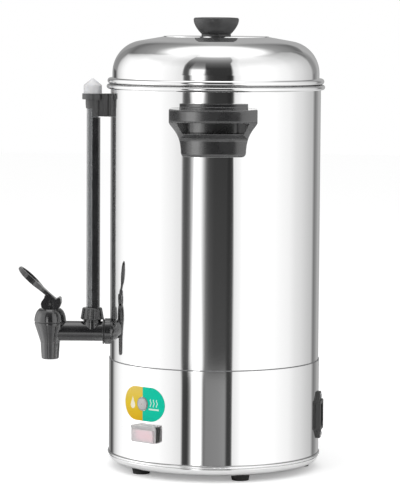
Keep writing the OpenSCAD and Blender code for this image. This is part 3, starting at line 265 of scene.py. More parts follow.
# The same by height. The dark gap clears towards the top.
GAP_BY_HEIGHT = [
    (0, .032), (22, .036), (26, .052), (30, .070), (34, .087), (38, .11), (42, .142), (46, .19),
    (50, .24), (54, .30), (57, .37), (60, .40), (62.5, .60), (64, .64), (65, .98), (90, 1)]
STRIP_BY_HEIGHT = [(0, 1), (17, 1), (21, .5), (24, .33), (28, .25), (32, .20), (40, .17), (90, .17)]
BOX_BY_HEIGHT = [
    (0, 1), (20, 1), (26, .97), (30, .92), (34, .88), (42, .82), (50, .85), (54, .90), (58, .97),
    (61, 1), (90, 1)]
BEHIND_BY_HEIGHT = [
    (0, 0), (2, .25), (20, .24), (26, .18), (30, .14), (34, .18), (38, .22), (46, .26), (54, .33),
    (58, .48), (62, .75), (65, 1), (90, 1)]

# How far the side boxes lean inwards, from 0 to 1, and how far the gap opens to the right.
LEFT_LEAN = [(0, 0), (24, 0), (30, .085), (38, .20), (46, .385), (50, .60), (54, .81), (60, 1)]
RIGHT_LEAN = [(0, 0), (38, 0), (46, .085), (50, .20), (54, .385), (58, .73), (62, 1)]
GAP_OPENS = [(0, 1), (40, 1), (46, .88), (50, .82), (54, .78), (60, .76)]


# %% [markdown]
# A colour ramp runs from 0 to 1 and keeps at most 32 stops, so the circle is cut
# into a left, a front and a right part, and each table is fitted to its part.

# %% The direction of a ray
DEGREES = 180 / math.pi
world = bpy.data.worlds.new("studio")
world.use_nodes = True
bpy.context.scene.world = world
sky = world.node_tree
sky.nodes.clear()


def table_ramp(tree, amount, table):
    low, high = table[0][0], table[-1][0]
    stops = [((place - low) / (high - low), shade) for place, shade in table]
    return ramp(tree, spread(tree, amount, low, high), stops)


way = add(sky, "ShaderNodeSeparateXYZ", Vector=add(sky, "ShaderNodeTexCoord").outputs["Generated"])
angle = times(sky, maths(sky, "ARCTAN2", way.outputs["X"], times(sky, way.outputs["Y"], -1)), DEGREES)
height = times(sky, maths(sky, "ARCSINE", way.outputs["Z"]), DEGREES)
turned = maths(sky, "ABSOLUTE", angle)
on_right = maths(sky, "GREATER_THAN", angle, 0)
box_fade = table_ramp(sky, height, BOX_BY_HEIGHT)
print("ray direction from", len(sky.nodes), "nodes")


# %% The side boxes, and the dim room behind them
# The outer edges of the boxes lean inwards above eye level.
LEAN_FROM, MOST_LEAN = 60, 1.3
lean = either(sky, table_ramp(sky, height, LEFT_LEAN), table_ramp(sky, height, RIGHT_LEAN), on_right)
lean = maths(sky, "MULTIPLY_ADD", lean, MOST_LEAN, 1)
beyond = times(sky, larger(sky, maths(sky, "SUBTRACT", turned, LEAN_FROM), 0), lean)
leaning = maths(sky, "ADD", maths(sky, "MINIMUM", turned, LEAN_FROM), beyond)
leaning = maths(sky, "MINIMUM", leaning, 180)
sides = either(sky, table_ramp(sky, times(sky, leaning, -1), LEFT_BANDS),
               table_ramp(sky, leaning, RIGHT_BANDS), on_right)
past_edge = times(sky, spread(sky, leaning, 146, 152, smooth=True),
                  spread(sky, height, 22, 30, smooth=True))
sides = times(sky, sides, box_fade, maths(sky, "SUBTRACT", 1, past_edge))

# Behind them the room is dim, and it ends at the overhead box.
raised = maths(sky, "ADD", height, spread(sky, turned, 110, 150, 6, 0))
behind = larger(sky, table_ramp(sky, raised, BEHIND_BY_HEIGHT), spread(sky, turned, 158, 176, 0, 0.38))
behind = times(sky, behind, maths(sky, "GREATER_THAN", turned, LEAN_FROM))
sides = larger(sky, sides, behind)
print("sides drawn")


# %% The strip and the dark gap in front
# The narrow strip stops low down, and the gap beside it reaches up to the overhead box.
# The lid sits a touch to the left, so what it mirrors is turned by a degree.
LID_TURN = 1.1
FRONT_EDGE = 39
LOW_BANDS_END, FRONT_BANDS_START = -7.96, -7.80
looked_up = maths(sky, "ADD", angle, spread(sky, height, 0, 2, 0, LID_TURN))
opened = times(sky, looked_up, table_ramp(sky, height, GAP_OPENS))
looked_up = either(sky, looked_up, opened, on_right)
front = either(sky, table_ramp(sky, looked_up, LOW_BANDS), table_ramp(sky, looked_up, FRONT_BANDS),
               spread(sky, height, LOW_BANDS_END, FRONT_BANDS_START))
front = times(sky, front, either(sky, box_fade, table_ramp(sky, height, STRIP_BY_HEIGHT),
                                 between(sky, looked_up, -28.5, -5)))
# The dark gap is deepest just below the lid.
deepened = times(sky, front, spread(sky, height, -7, -0.5, 1.05, 0.5))
in_gap = times(sky, spread(sky, front, 0.10, 0.25, 1, 0), between(sky, looked_up, -8, 19))
front = either(sky, front, deepened, in_gap)
front = larger(sky, front, times(sky, table_ramp(sky, height, GAP_BY_HEIGHT),
                                 maths(sky, "GREATER_THAN", height, 0)))
mirrored = either(sky, sides, front, maths(sky, "LESS_THAN", turned, FRONT_EDGE))
print("front drawn")


# %% The pale table below the horizon
# The bands lie over it, and its near part is dimmer.
BAND_SHARE, TABLE_LEVEL, NEAR_SHARE = 0.45, 0.48, 0.62
pale = maths(sky, "MULTIPLY_ADD", mirrored, BAND_SHARE, TABLE_LEVEL)
mirrored = either(sky, mirrored, pale, spread(sky, height, -11, -17, smooth=True))
mirrored = either(sky, mirrored, times(sky, mirrored, NEAR_SHARE),
                  spread(sky, height, -32, -50, smooth=True))
print("table drawn")


# %% The boxes' extra light
# A box shines brighter than paper. Steel clips to white there, and black plastic shows it.
def shine(amount, low, high, soft, extra):
    return times(sky, spread(sky, amount, low - soft, low + soft, smooth=True),
                 spread(sky, amount, high - soft, high + soft, 1, 0, smooth=True), extra)


level_sides = spread(sky, height, 20, 40, 1, 0)
boost = times(sky, shine(angle, -22, -14.5, 1, 0.8), spread(sky, height, 12, 18, 1, 0),
              spread(sky, height, -14, -10))
for extra in (times(sky, shine(angle, -104, -72, 8, 0.5), level_sides),
              times(sky, shine(angle, 38, 64, 6, 0.1), level_sides),
              shine(height, 74, 100, 4, 0.5),
              times(sky, shine(height, -32, -17, 3, 0.4), spread(sky, turned, 40, 70, 1, 0))):
    boost = larger(sky, boost, extra)
mirrored = times(sky, mirrored, maths(sky, "ADD", boost, 1))
print("boxes brightened")


# %% What each kind of ray sees
MIRROR_LEVEL = 1.13
EVEN_LEVEL = 0.80
rays = add(sky, "ShaderNodeLightPath")
level = either(sky, EVEN_LEVEL, times(sky, mirrored, MIRROR_LEVEL), rays.outputs["Is Glossy Ray"])
straight = larger(sky, rays.outputs["Is Camera Ray"], rays.outputs["Is Transmission Ray"])
level = either(sky, level, 1.0, straight)
backdrop = add(sky, "ShaderNodeBackground", Color=level)
add(sky, "ShaderNodeOutputWorld", Surface=backdrop.outputs[0])
print("studio made of", len(sky.nodes), "nodes")


# %% [markdown]
# ## The table top
# The urn stands on a white sheet that runs out of sight, with only a soft dark
# patch under the tray. The sheet is a real surface, so it catches that shade and
# throws light back up at the tray. To the camera it glows a little, which brings
# it to the white of the backdrop. A mirror that looked along it would see the
# sheet in place of the room, so beyond a hand's breadth from the tray it lets
# mirrored rays through, and the bands run down to the foot of the urn. A camera
# below it looks through it too, so the urn's underside can be inspected.

# %% Floor
FLOOR_RADIUS = 6.0
floor_mesh = bpy.data.meshes.new("floor")
shape = bmesh.new()
bmesh.ops.create_circle(shape, cap_ends=True, segments=96, radius=FLOOR_RADIUS)
shape.to_mesh(floor_mesh)
shape.free()
floor = new_object("floor", floor_mesh)
print("floor radius", FLOOR_RADIUS)


# %% White paper
SHEET_SEEN_IN_STEEL, FADES_OVER = 0.125, 0.02
PAPER_GLOW = 0.26

paper = bpy.data.materials.new("white_paper")
paper.use_nodes = True
tree = paper.node_tree
tree.nodes.clear()
rays = add(tree, "ShaderNodeLightPath")
matt = add(tree, "ShaderNodeBsdfDiffuse", Color=(0.90, 0.90, 0.90, 1))
glow = add(tree, "ShaderNodeEmission", Strength=times(tree, rays.outputs["Is Camera Ray"], PAPER_GLOW))
lit = add(tree, "ShaderNodeAddShader")
tree.links.new(matt.outputs[0], lit.inputs[0])
tree.links.new(glow.outputs[0], lit.inputs[1])
far = spread(tree, length_of(tree, object_place(tree)), SHEET_SEEN_IN_STEEL,
             SHEET_SEEN_IN_STEEL + FADES_OVER, smooth=True)
from_below = times(tree, add(tree, "ShaderNodeNewGeometry").outputs["Backfacing"],
                   rays.outputs["Is Camera Ray"])
away = add(tree, "ShaderNodeMixShader",
           Fac=larger(tree, times(tree, far, rays.outputs["Is Glossy Ray"]), from_below))
tree.links.new(lit.outputs[0], away.inputs[1])
tree.links.new(add(tree, "ShaderNodeBsdfTransparent").outputs[0], away.inputs[2])
add(tree, "ShaderNodeOutputMaterial", Surface=away.outputs[0])
floor_mesh.materials.append(paper)
print("paper made of", len(tree.nodes), "nodes")


# %% [markdown]
# ## Two soft lamps
# The even level alone would leave round forms flat. A broad lamp overhead and a
# weaker one at the left front model the black mouldings and lay the soft shade
# under the tray. They are hidden from mirrored rays, because the studio already
# shows its boxes there.

# %% Lamps
def softbox(name, place, aim, size, watts):
    data = bpy.data.lights.new(name, "AREA")
    data.shape = "DISK"
    data.size = size
    data.energy = watts
    lamp = new_object(name, data)
    lamp.location = place
    lamp.rotation_euler = (Vector(aim) - Vector(place)).to_track_quat("-Z", "Y").to_euler()
    lamp.visible_glossy = False
    print(name, "at", place)


softbox("overhead_lamp", (-0.2, -0.3, 2.2), (0, 0, 0.2), 1.6, 14)
softbox("front_lamp", (-1.4, -1.6, 1.2), (0, 0, 0.25), 1.2, 7)


# %% [markdown]
# ## Polished steel
# The tank is stainless sheet that was rolled, welded and buffed to a mirror. The
# shader is plain metal, nearly white, with a low roughness. Real sheet is never
# quite flat, and that is what makes a mirror believable: a slow swell from the
# rolling, a very fine grain from the buffing wheel that runs round the tank, and
# faint smears where hands and cloths have been. Swell and grain go into the bump
# and the smears into the roughness, all from Object coordinates in metres. Where
# two sheets meet, the joint keeps a little polish, so it is duller, and a painted
# shade makes it darker, for the shadow in the gap or groove there. Nobody buffs
# the inside of the tank: it stays satin and scatters light.

# %% Material helpers
def new_material(name, color, roughness, metallic=0.0, **inputs):
    material = bpy.data.materials.new(name)
    material.use_nodes = True
    tree = material.node_tree
    shader = tree.nodes["Principled BSDF"]
    fill(tree, shader, Base_Color=(*color, 1), Roughness=roughness, Metallic=metallic, **inputs)
    return material, tree, shader


def object_space(tree, scale=(1, 1, 1)):
    return add(tree, "ShaderNodeMapping", Scale=scale, Vector=object_place(tree)).outputs["Vector"]


def grain(tree, place, scale, detail=2.0, roughness=0.5):
    return add(tree, "ShaderNodeTexNoise", Vector=place, Scale=scale, Detail=detail,
               Roughness=roughness).outputs["Fac"]


def bump(tree, relief, distance, under=None):
    node = add(tree, "ShaderNodeBump", Height=relief, Distance=distance)
    if under:
        fill(tree, node, Normal=under)
    return node.outputs["Normal"]


def mix_colors(tree, first, second, amount):
    node = add(tree, "ShaderNodeMix", {"data_type": "RGBA"})
    for index, given in ((0, amount), (6, first), (7, second)):
        feed(tree, node.inputs[index], given)
    return node.outputs[2]


print("material helpers ready")


# %% Mirror steel
STEEL_SHADE, JOINT_PAINTED_SHADE = 0.90, 0.15
JOINT_DULLNESS = 0.35
GRAIN_DEPTH = 0.0000006
SATIN_ROUGHNESS, SATIN_METAL = 0.42, 0.30


def polished_steel(name, swell, low, high, joints, satin_within=0.0):
    """joints holds a height and a reach in millimetres, and a depth of painted shade, for each joint."""
    material, tree, shader = new_material(name, (STEEL_SHADE,) * 3, low, 1.0)
    waves = bump(tree, grain(tree, object_space(tree, scale=(9, 9, 1.6)), 1.0, 1.0), swell)
    around = object_space(tree, scale=(30, 30, 1500))
    lines = bump(tree, grain(tree, around, 1.0), GRAIN_DEPTH, under=waves)
    smears = grain(tree, object_space(tree, scale=(14, 14, 8)), 1.0, 3.0, 0.6)
    dull = spread(tree, smears, 0.35, 0.75, low, high)
    level = along(tree, UP)
    dark = 0.0
    # Painted shade: the colour darkens near each joint, for the shadow in the gap or groove there.
    for joint, reach, depth in joints:
        near = spread(tree, distance(tree, level, joint), 0.4 * reach, reach, depth, 0, smooth=True)
        dark = larger(tree, dark, near)
    dull = maths(tree, "MULTIPLY_ADD", dark, JOINT_DULLNESS, dull)
    if satin_within:
        from_axis = length_of(tree, object_space(tree, scale=(1, 1, 0)))
        satin = maths(tree, "LESS_THAN", from_axis, satin_within * MM)
        dull = either(tree, dull, SATIN_ROUGHNESS, satin)
        fill(tree, shader, Metallic=either(tree, 1.0, SATIN_METAL, satin))
    fill(tree, shader, Roughness=dull, Normal=lines,
         Base_Color=ramp(tree, dark, [(0, STEEL_SHADE), (1, JOINT_PAINTED_SHADE)]))
    return material


RIM_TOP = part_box("tank")[1][2] / MM
FOOT_OF_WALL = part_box("base_housing")[0][2] / MM
INSIDE_TANK = 109.6
tank_steel = polished_steel("tank_steel", 0.0008, 0.04, 0.06, [(RIM_TOP, 1.2, 0.48)], INSIDE_TANK)
base_steel = polished_steel("base_steel", 0.0006, 0.035, 0.05, [(FOOT_OF_WALL, 0.9, 0.6)])
lid_steel = polished_steel("lid_steel", 0.0003, 0.035, 0.05, [(RIM_TOP, 1.3, 0.45)])
tray_steel = polished_steel("tray_steel", 0.0003, 0.035, 0.06,
                            [(FOOT_OF_WALL, 0.7, 0.5), (FOOT_OF_WALL - 3.1, 0.7, 0.4)])
print("mirror steel in", len(tank_steel.node_tree.nodes), "nodes")


# %% [markdown]
# ## Plated screws and the spring
# Small fasteners are pressed or turned and then plated, so they are greyer and
# rougher than the tank, with a fine scratch and a little darkening in patches.

# %% Plated steel, contact pins, heater metal
def plated_metal(name, color, roughness, scratch=1400, patch=260):
    material, tree, shader = new_material(name, color, roughness, 1.0)
    place = object_space(tree)
    patches = grain(tree, place, patch, 3.0)
    dark = tuple(0.72 * c for c in color)
    fill(tree, shader, Base_Color=ramp(tree, patches, [(0.35, dark), (0.62, color)]),
         Roughness=spread(tree, patches, 0.3, 0.7, roughness * 0.8, roughness * 1.3),
         Normal=bump(tree, grain(tree, place, scratch, 2.0), 0.00002))
    return material


screw_steel = plated_metal("screw_steel", (0.62, 0.62, 0.63), 0.28)
spring_steel = plated_metal("spring_steel", (0.55, 0.55, 0.56), 0.22, patch=400)
contact_metal = plated_metal("contact_metal", (0.70, 0.66, 0.58), 0.25)
heater_cast = plated_metal("heater_cast", (0.50, 0.50, 0.51), 0.45, 700, 60)
print("plated metals ready")


# %% [markdown]
# ## Black mouldings
# The handles and the knob are a hard glossy black plastic, and the tap a nylon
# with the same shine. Their highlights come out quite light, from a hard skin
# over the colour, so a clear coat of a higher index lies over the base. Moulded
# skin shows a faint orange peel and, where hands go, a little wear that dulls
# it, and a moulded edge is never quite sharp, so the shading softens it. The
# parts under the urn are plain matt black with the grain of the mould.

# %% Black plastics and rubber
def black_plastic(name, color, roughness, coat, coat_ior, peel=0.000012, peel_scale=500, gloss=0.08,
                  edge=0.0004, specular=0.5):
    material, tree, shader = new_material(
        name, color, roughness, IOR=1.6, Specular_IOR_Level=specular,
        Coat_Weight=coat, Coat_IOR=coat_ior, Coat_Roughness=gloss)
    place = object_space(tree)
    worn = grain(tree, place, 55, 4.0, 0.6)
    grey = tuple(c + 0.012 for c in color)
    soft_edge = add(tree, "ShaderNodeBevel", {"samples": 6}, Radius=edge).outputs["Normal"]
    skin = bump(tree, grain(tree, place, peel_scale, 2.0), peel, under=soft_edge)
    fill(tree, shader, Base_Color=ramp(tree, worn, [(0.42, color), (0.8, grey)]),
         Roughness=spread(tree, worn, 0.40, 0.75, roughness, roughness + 0.14),
         Normal=skin, Coat_Normal=skin)
    return material


def rubber(name, color, roughness):
    material, tree, shader = new_material(name, color, roughness, Specular_IOR_Level=0.35)
    place = object_space(tree)
    dust = grain(tree, place, 140, 4.0, 0.65)
    pale = tuple(c * 1.5 + 0.012 for c in color)
    fill(tree, shader, Base_Color=ramp(tree, dust, [(0.45, color), (0.8, pale)]),
         Normal=bump(tree, grain(tree, place, 1600, 1.0), 0.00004))
    return material


handle_black = black_plastic("handle_black", (0.018, 0.018, 0.019), 0.24, 1.0, 1.8, 0.000006,
                             edge=0.0014)
knob_black = black_plastic("knob_black", (0.030, 0.030, 0.031), 0.42, 0.25, 1.5)
tap_black = black_plastic("tap_black", (0.012, 0.012, 0.013), 0.22, 1.0, 1.85, 0.000003, gloss=0.04,
                          specular=0.15)
bracket_black = black_plastic("bracket_black", (0.045, 0.045, 0.046), 0.38, 0.3, 1.5)
matt_black = black_plastic("matt_black", (0.022, 0.022, 0.022), 0.48, 0.15, 1.5, 0.00003, 1200)
stem_black = black_plastic("stem_black", (0.05, 0.05, 0.05), 0.38, 0.0, 1.5)
foot_rubber = rubber("foot_rubber", (0.018, 0.018, 0.018), 0.75)
gasket_rubber = rubber("gasket_rubber", (0.012, 0.012, 0.012), 0.65)
# The seam seal is a grey rubber ring, and its dark grey is also a painted shade for the shadow in the
# seam between tank and base.
seal_grey = rubber("seal_grey", (0.17, 0.17, 0.175), 0.5)
print("black plastics ready")


# %% [markdown]
# ## Clear and pale pieces
# The gauge tube is glass with a smoky look against the black shield behind it.
# The valve's cup and seal are milky silicone, in which light wanders a little.
# The splash cover over the switch is soft vinyl: clear, but blurred like frosted
# glass. The plug at the top of the gauge is glossy white plastic.

# %% Glass, silicone, vinyl and white plastic
def clear_stuff(name, color, roughness, ior, ripple=0.00003, scale=60):
    material, tree, shader = new_material(name, color, roughness, Transmission_Weight=1.0, IOR=ior)
    place = object_space(tree)
    film = grain(tree, place, scale * 3, 3.0)
    fill(tree, shader, Roughness=spread(tree, film, 0.4, 0.8, roughness, roughness + 0.05),
         Normal=bump(tree, grain(tree, place, scale, 1.0), ripple))
    return material


def milky(name, color, roughness, depth):
    material, tree, shader = new_material(
        name, color, roughness, Subsurface_Weight=0.35, Subsurface_Radius=(1.0, 0.9, 0.8),
        Subsurface_Scale=depth)
    place = object_space(tree)
    cloud = grain(tree, place, 180, 3.0)
    dull = tuple(0.93 * c for c in color)
    fill(tree, shader, Base_Color=ramp(tree, cloud, [(0.35, dull), (0.65, color)]),
         Roughness=spread(tree, cloud, 0.3, 0.7, roughness, roughness + 0.08),
         Normal=bump(tree, grain(tree, place, 900, 1.0), 0.00001))
    return material


tube_glass = clear_stuff("tube_glass", (0.36, 0.365, 0.37), 0.02, 1.50)
silicone = milky("silicone", (0.82, 0.80, 0.76), 0.42, 0.002)
plug_white = milky("plug_white", (0.66, 0.66, 0.67), 0.18, 0.0015)
ceramic = milky("ceramic", (0.80, 0.79, 0.74), 0.55, 0.0008)
print("clear and pale finishes ready")


# %% The splash cover
# The cover's walls are clear, and its face is milkier and thicker. Its end walls
# get a painted shade, darker, which stands in for the switch's black frame seen through them.
SWITCH_ANGLE, SWITCH_FRAME_R = -37, 116.3
FACE_BLEND, END_WALL = 0.4, 1.2
COVER_SHADE, END_WALL_PAINTED_SHADE = (0.97, 0.95, 0.955), (0.40, 0.39, 0.39)
cover_vinyl = clear_stuff("cover_vinyl", COVER_SHADE, 0.30, 1.35, 0.00006, 240)
tree = cover_vinyl.node_tree
proud = along(tree, outward(SWITCH_ANGLE))
along_wall = rightward(SWITCH_ANGLE)
reach = [along_wall.dot(v.co) / MM for v in nodes["splash_cover"].data.vertices]
cover_middle, cover_half = (max(reach) + min(reach)) / 2, (max(reach) - min(reach)) / 2
from_middle = distance(tree, along(tree, along_wall), cover_middle)
# Painted shade: the end walls' colour darkens, standing for the black frame seen through them.
painted_end_shade = times(tree, maths(tree, "GREATER_THAN", from_middle, cover_half - END_WALL),
                 maths(tree, "LESS_THAN", proud, SWITCH_FRAME_R - FACE_BLEND))
fill(tree, tree.nodes["Principled BSDF"],
     Base_Color=ramp(tree, painted_end_shade, [(0, COVER_SHADE), (1, END_WALL_PAINTED_SHADE)]),
     Transmission_Weight=spread(tree, proud, SWITCH_FRAME_R - FACE_BLEND, SWITCH_FRAME_R + FACE_BLEND,
                                0.94, 0.58))
print("cover is", round(2 * cover_half, 1), "mm long")


# %% [markdown]
# ## The switch's rocker and the thermostats
# The rocker is a translucent red plastic. A faint painted glow in it stands in for
# the light that the frosted cover keeps from it, and with the cover over it that makes it
# look pink. The thermostat's case is brown phenolic, which is a filled resin with fine paler flecks.

# %% Rocker and phenolic
def rocker_plastic():
    # The emission is a painted glow, standing in for light that the cover keeps from the rocker.
    material, tree, shader = new_material(
        "rocker_red", (0.82, 0.34, 0.42), 0.18, Subsurface_Weight=0.6,
        Subsurface_Radius=(1.0, 0.25, 0.25), Subsurface_Scale=0.004,
        Emission_Color=(1.0, 0.36, 0.50, 1), Coat_Weight=0.5)
    place = object_space(tree)
    haze = grain(tree, place, 420, 3.0)
    fill(tree, shader,
         Base_Color=ramp(tree, haze, [(0.35, (0.80, 0.30, 0.38)), (0.65, (0.86, 0.40, 0.47))]),
         Emission_Strength=spread(tree, grain(tree, place, 170, 1.0), 0.38, 0.62, 0.30, 0.55),
         Normal=bump(tree, grain(tree, place, 1500, 1.0), 0.00001))
    return material


def phenolic():
    material, tree, shader = new_material("brown_phenolic", (0.16, 0.07, 0.035), 0.4)
    flecks = grain(tree, object_space(tree), 1300, 2.0)
    fill(tree, shader, Normal=bump(tree, flecks, 0.00002),
         Base_Color=ramp(tree, flecks, [(0.5, (0.15, 0.065, 0.032)), (0.75, (0.27, 0.14, 0.08))]))
    return material


rocker_red = rocker_plastic()
brown_phenolic = phenolic()
print("rocker and phenolic ready")


# %% [markdown]
# ## The control label
# A printed film is stuck round the lamp: yellow on the left, green on the right,
# with a small pale sign on each half. The film lies flat on the wall, so its two
# print directions are the rightward direction at its middle and the height. Both
# come from a dot product on Object coordinates. The signs are plain shapes: a
# drop, given as a width for every height, and three rising waves over a bar.

# %% Label print
LABEL_ANGLE, LABEL_HEIGHT = -40, 77.3
SIGN_FROM_MIDDLE = 14.5
SIGN_SHADE, SIGN_STRENGTH = (0.86, 0.88, 0.80, 1), 0.72
WAVE_BEND, WAVE_RATE, HALF_PITCH, GAP_HALF = 0.55, 1.05, 1.9, 1.45
# The drop's half width in centimetres, by the height over the label's middle in millimetres.
DROP = [(-6, 0), (-5.6, .15), (-4.6, .28), (-2.5, .36), (-0.5, .31), (2, .19), (4.5, .08), (7, .0)]


def drop_sign(tree, across, up):
    half_width = times(tree, table_ramp(tree, up, DROP), 10)
    return maths(tree, "LESS_THAN", distance(tree, across, -SIGN_FROM_MIDDLE), half_width)


def wave_sign(tree, across, up):
    """Three waves over a bar. The distance from one wave is folded, which repeats the wave."""
    sideways = maths(tree, "SUBTRACT", across, SIGN_FROM_MIDDLE)
    from_sign = maths(tree, "ABSOLUTE", sideways)
    wave = times(tree, maths(tree, "SINE", times(tree, up, WAVE_RATE)), WAVE_BEND)
    shifted = maths(tree, "ADD", maths(tree, "SUBTRACT", sideways, wave), HALF_PITCH)
    line = maths(tree, "GREATER_THAN", maths(tree, "PINGPONG", shifted, HALF_PITCH), GAP_HALF)
    line = times(tree, line, between(tree, up, -2.2, 5.6), maths(tree, "LESS_THAN", from_sign, 5.3))
    bar = times(tree, between(tree, up, -5.6, -3.9), maths(tree, "LESS_THAN", from_sign, 6.2))
    return larger(tree, line, bar)


def label_print():
    material, tree, shader = new_material("label_film", (0.8, 0.6, 0.05), 0.32, Specular_IOR_Level=0.12)
    across = along(tree, rightward(LABEL_ANGLE))
    up = maths(tree, "SUBTRACT", along(tree, UP), LABEL_HEIGHT)
    ink = grain(tree, object_space(tree), 900, 3.0)
    yellow = ramp(tree, spread(tree, up, -18, 18), [
        (0.0, (0.68, 0.40, 0.0)), (0.5, (0.71, 0.50, 0.02)), (1.0, (0.73, 0.54, 0.115))])
    green = ramp(tree, ink, [(0.3, (0.0, 0.49, 0.325)), (0.7, (0.0, 0.54, 0.36))])
    field = mix_colors(tree, yellow, green, maths(tree, "GREATER_THAN", across, 0))
    sign = larger(tree, drop_sign(tree, across, up), wave_sign(tree, across, up))
    fill(tree, shader, Normal=bump(tree, ink, 0.000006),
         Base_Color=mix_colors(tree, field, SIGN_SHADE, times(tree, sign, SIGN_STRENGTH)))
    return material


label_film = label_print()
print("label printed at", LABEL_ANGLE, "degrees,", LABEL_HEIGHT, "mm up")


# %% [markdown]
# ## The lamp
# The lamp's lens is moulded with fine rings on its inside that spread the glow.
# Rings round an axis are a distance from that axis, taken across the wall and up.

# %% Lamp lens and its holder
LENS_FROM_AXIS = 111.5
RADIANS_PER_MM = 6.5


def lamp_plastic():
    material, tree, shader = new_material(
        "lamp_lens", (0.48, 0.45, 0.45), 0.2, Subsurface_Weight=0.5, Subsurface_Radius=(1.0, 0.7, 0.7),
        Subsurface_Scale=0.003, Coat_Weight=0.6)
    middle_of_lens = on_wall(LABEL_ANGLE, LENS_FROM_AXIS, LABEL_HEIGHT)
    centred = vector_maths(tree, "SUBTRACT", object_place(tree), middle_of_lens)["Vector"]
    radius = times(tree, length_of(tree, centred), 1 / MM)
    shade = spread(tree, maths(tree, "SINE", times(tree, radius, RADIANS_PER_MM)), -1, 1)
    fill(tree, shader, Normal=bump(tree, shade, 0.00012),
         Base_Color=ramp(tree, shade, [(0.0, (0.36, 0.34, 0.34)), (1.0, (0.58, 0.55, 0.55))]))
    return material


lamp_lens = lamp_plastic()
holder_grey = black_plastic("holder_grey", (0.24, 0.24, 0.24), 0.32, 0.3, 1.5)
print("lamp ready")


# %% [markdown]
# ## Pieces measured from the solids
# Some nodes hold several like solids, such as four handle screws. A copy of the
# mesh is welded and walked along its edges, which gives each solid's own points.
# Their middle says where a screw goes.

# %% Separate solids of a node
def solids_of(name):
    shape = bmesh.new()
    shape.from_mesh(nodes[name].data)
    bmesh.ops.remove_doubles(shape, verts=shape.verts, dist=0.000002)
    left = set(shape.verts)
    found = []
    while left:
        start = left.pop()
        group, rim = [start.co.copy()], [start]
        while rim:
            for edge in rim.pop().link_edges:
                for vert in edge.verts:
                    if vert in left:
                        left.remove(vert)
                        group.append(vert.co.copy())
                        rim.append(vert)
        found.append(group)
    shape.free()
    # A set has no fixed order, so the solids are sorted by place, in whole millimetres.
    return sorted(found, key=lambda points: [round(v / MM) for v in middle(points)])


def middle(points):
    low = Vector(min(p[i] for p in points) for i in range(3))
    high = Vector(max(p[i] for p in points) for i in range(3))
    return (low + high) / 2


for name in ("foot_screws", "handle_screws", "bracket_screws", "inlet_screws", "knob_screw"):
    print(name, "has", len(solids_of(name)), "solids")


# %% [markdown]
# ## A rule for a screw
# Every screw on the urn is the same idea: a domed head with a cross recess, a
# washer under some of them, a plain shank, and a nut on others. Geometry Nodes
# keep that idea in one tree with a named input for each size, and place it on a
# list of points. The head is where a flat cylinder and a big ball overlap, and
# the recess is two boxes taken out of it. Sizes are in millimetres and the
# instances are shrunk to metres, because the overlap is found more safely at
# that scale.

# %% The screw tree
CROWN_SHARE, SUNK_SHANK, NUT_SIDES = 0.55, 0.2, 6
MOST_SPIN, SHARP_ANGLE = 1.5, 32


def new_rule(name, **sizes):
    """A geometry tree that takes points, a metal and a number for each size."""
    tree = bpy.data.node_groups.new(name, "GeometryNodeTree")
    for way in ("INPUT", "OUTPUT"):
        tree.interface.new_socket("Geometry", in_out=way, socket_type="NodeSocketGeometry")
    for key, start in sizes.items():
        size = tree.interface.new_socket(key.replace("_", " "), in_out="INPUT",
                                         socket_type="NodeSocketFloat")
        size.default_value = start
    tree.interface.new_socket("Metal", in_out="INPUT", socket_type="NodeSocketMaterial")
    return tree, add(tree, "NodeGroupInput").outputs, add(tree, "NodeGroupOutput")


def in_metal(tree, given, piece, **placing):
    """The piece on every point, made real, shaded smooth and given its metal."""
    placed = add(tree, "GeometryNodeInstanceOnPoints", Points=given["Geometry"], Instance=piece,
                 **placing)
    real = add(tree, "GeometryNodeRealizeInstances", Geometry=placed.outputs[0])
    rounded = add(tree, "GeometryNodeSetShadeSmooth", Geometry=real.outputs[0])
    finish = add(tree, "GeometryNodeSetMaterial", Geometry=rounded.outputs[0], Material=given["Metal"])
    return finish.outputs[0]


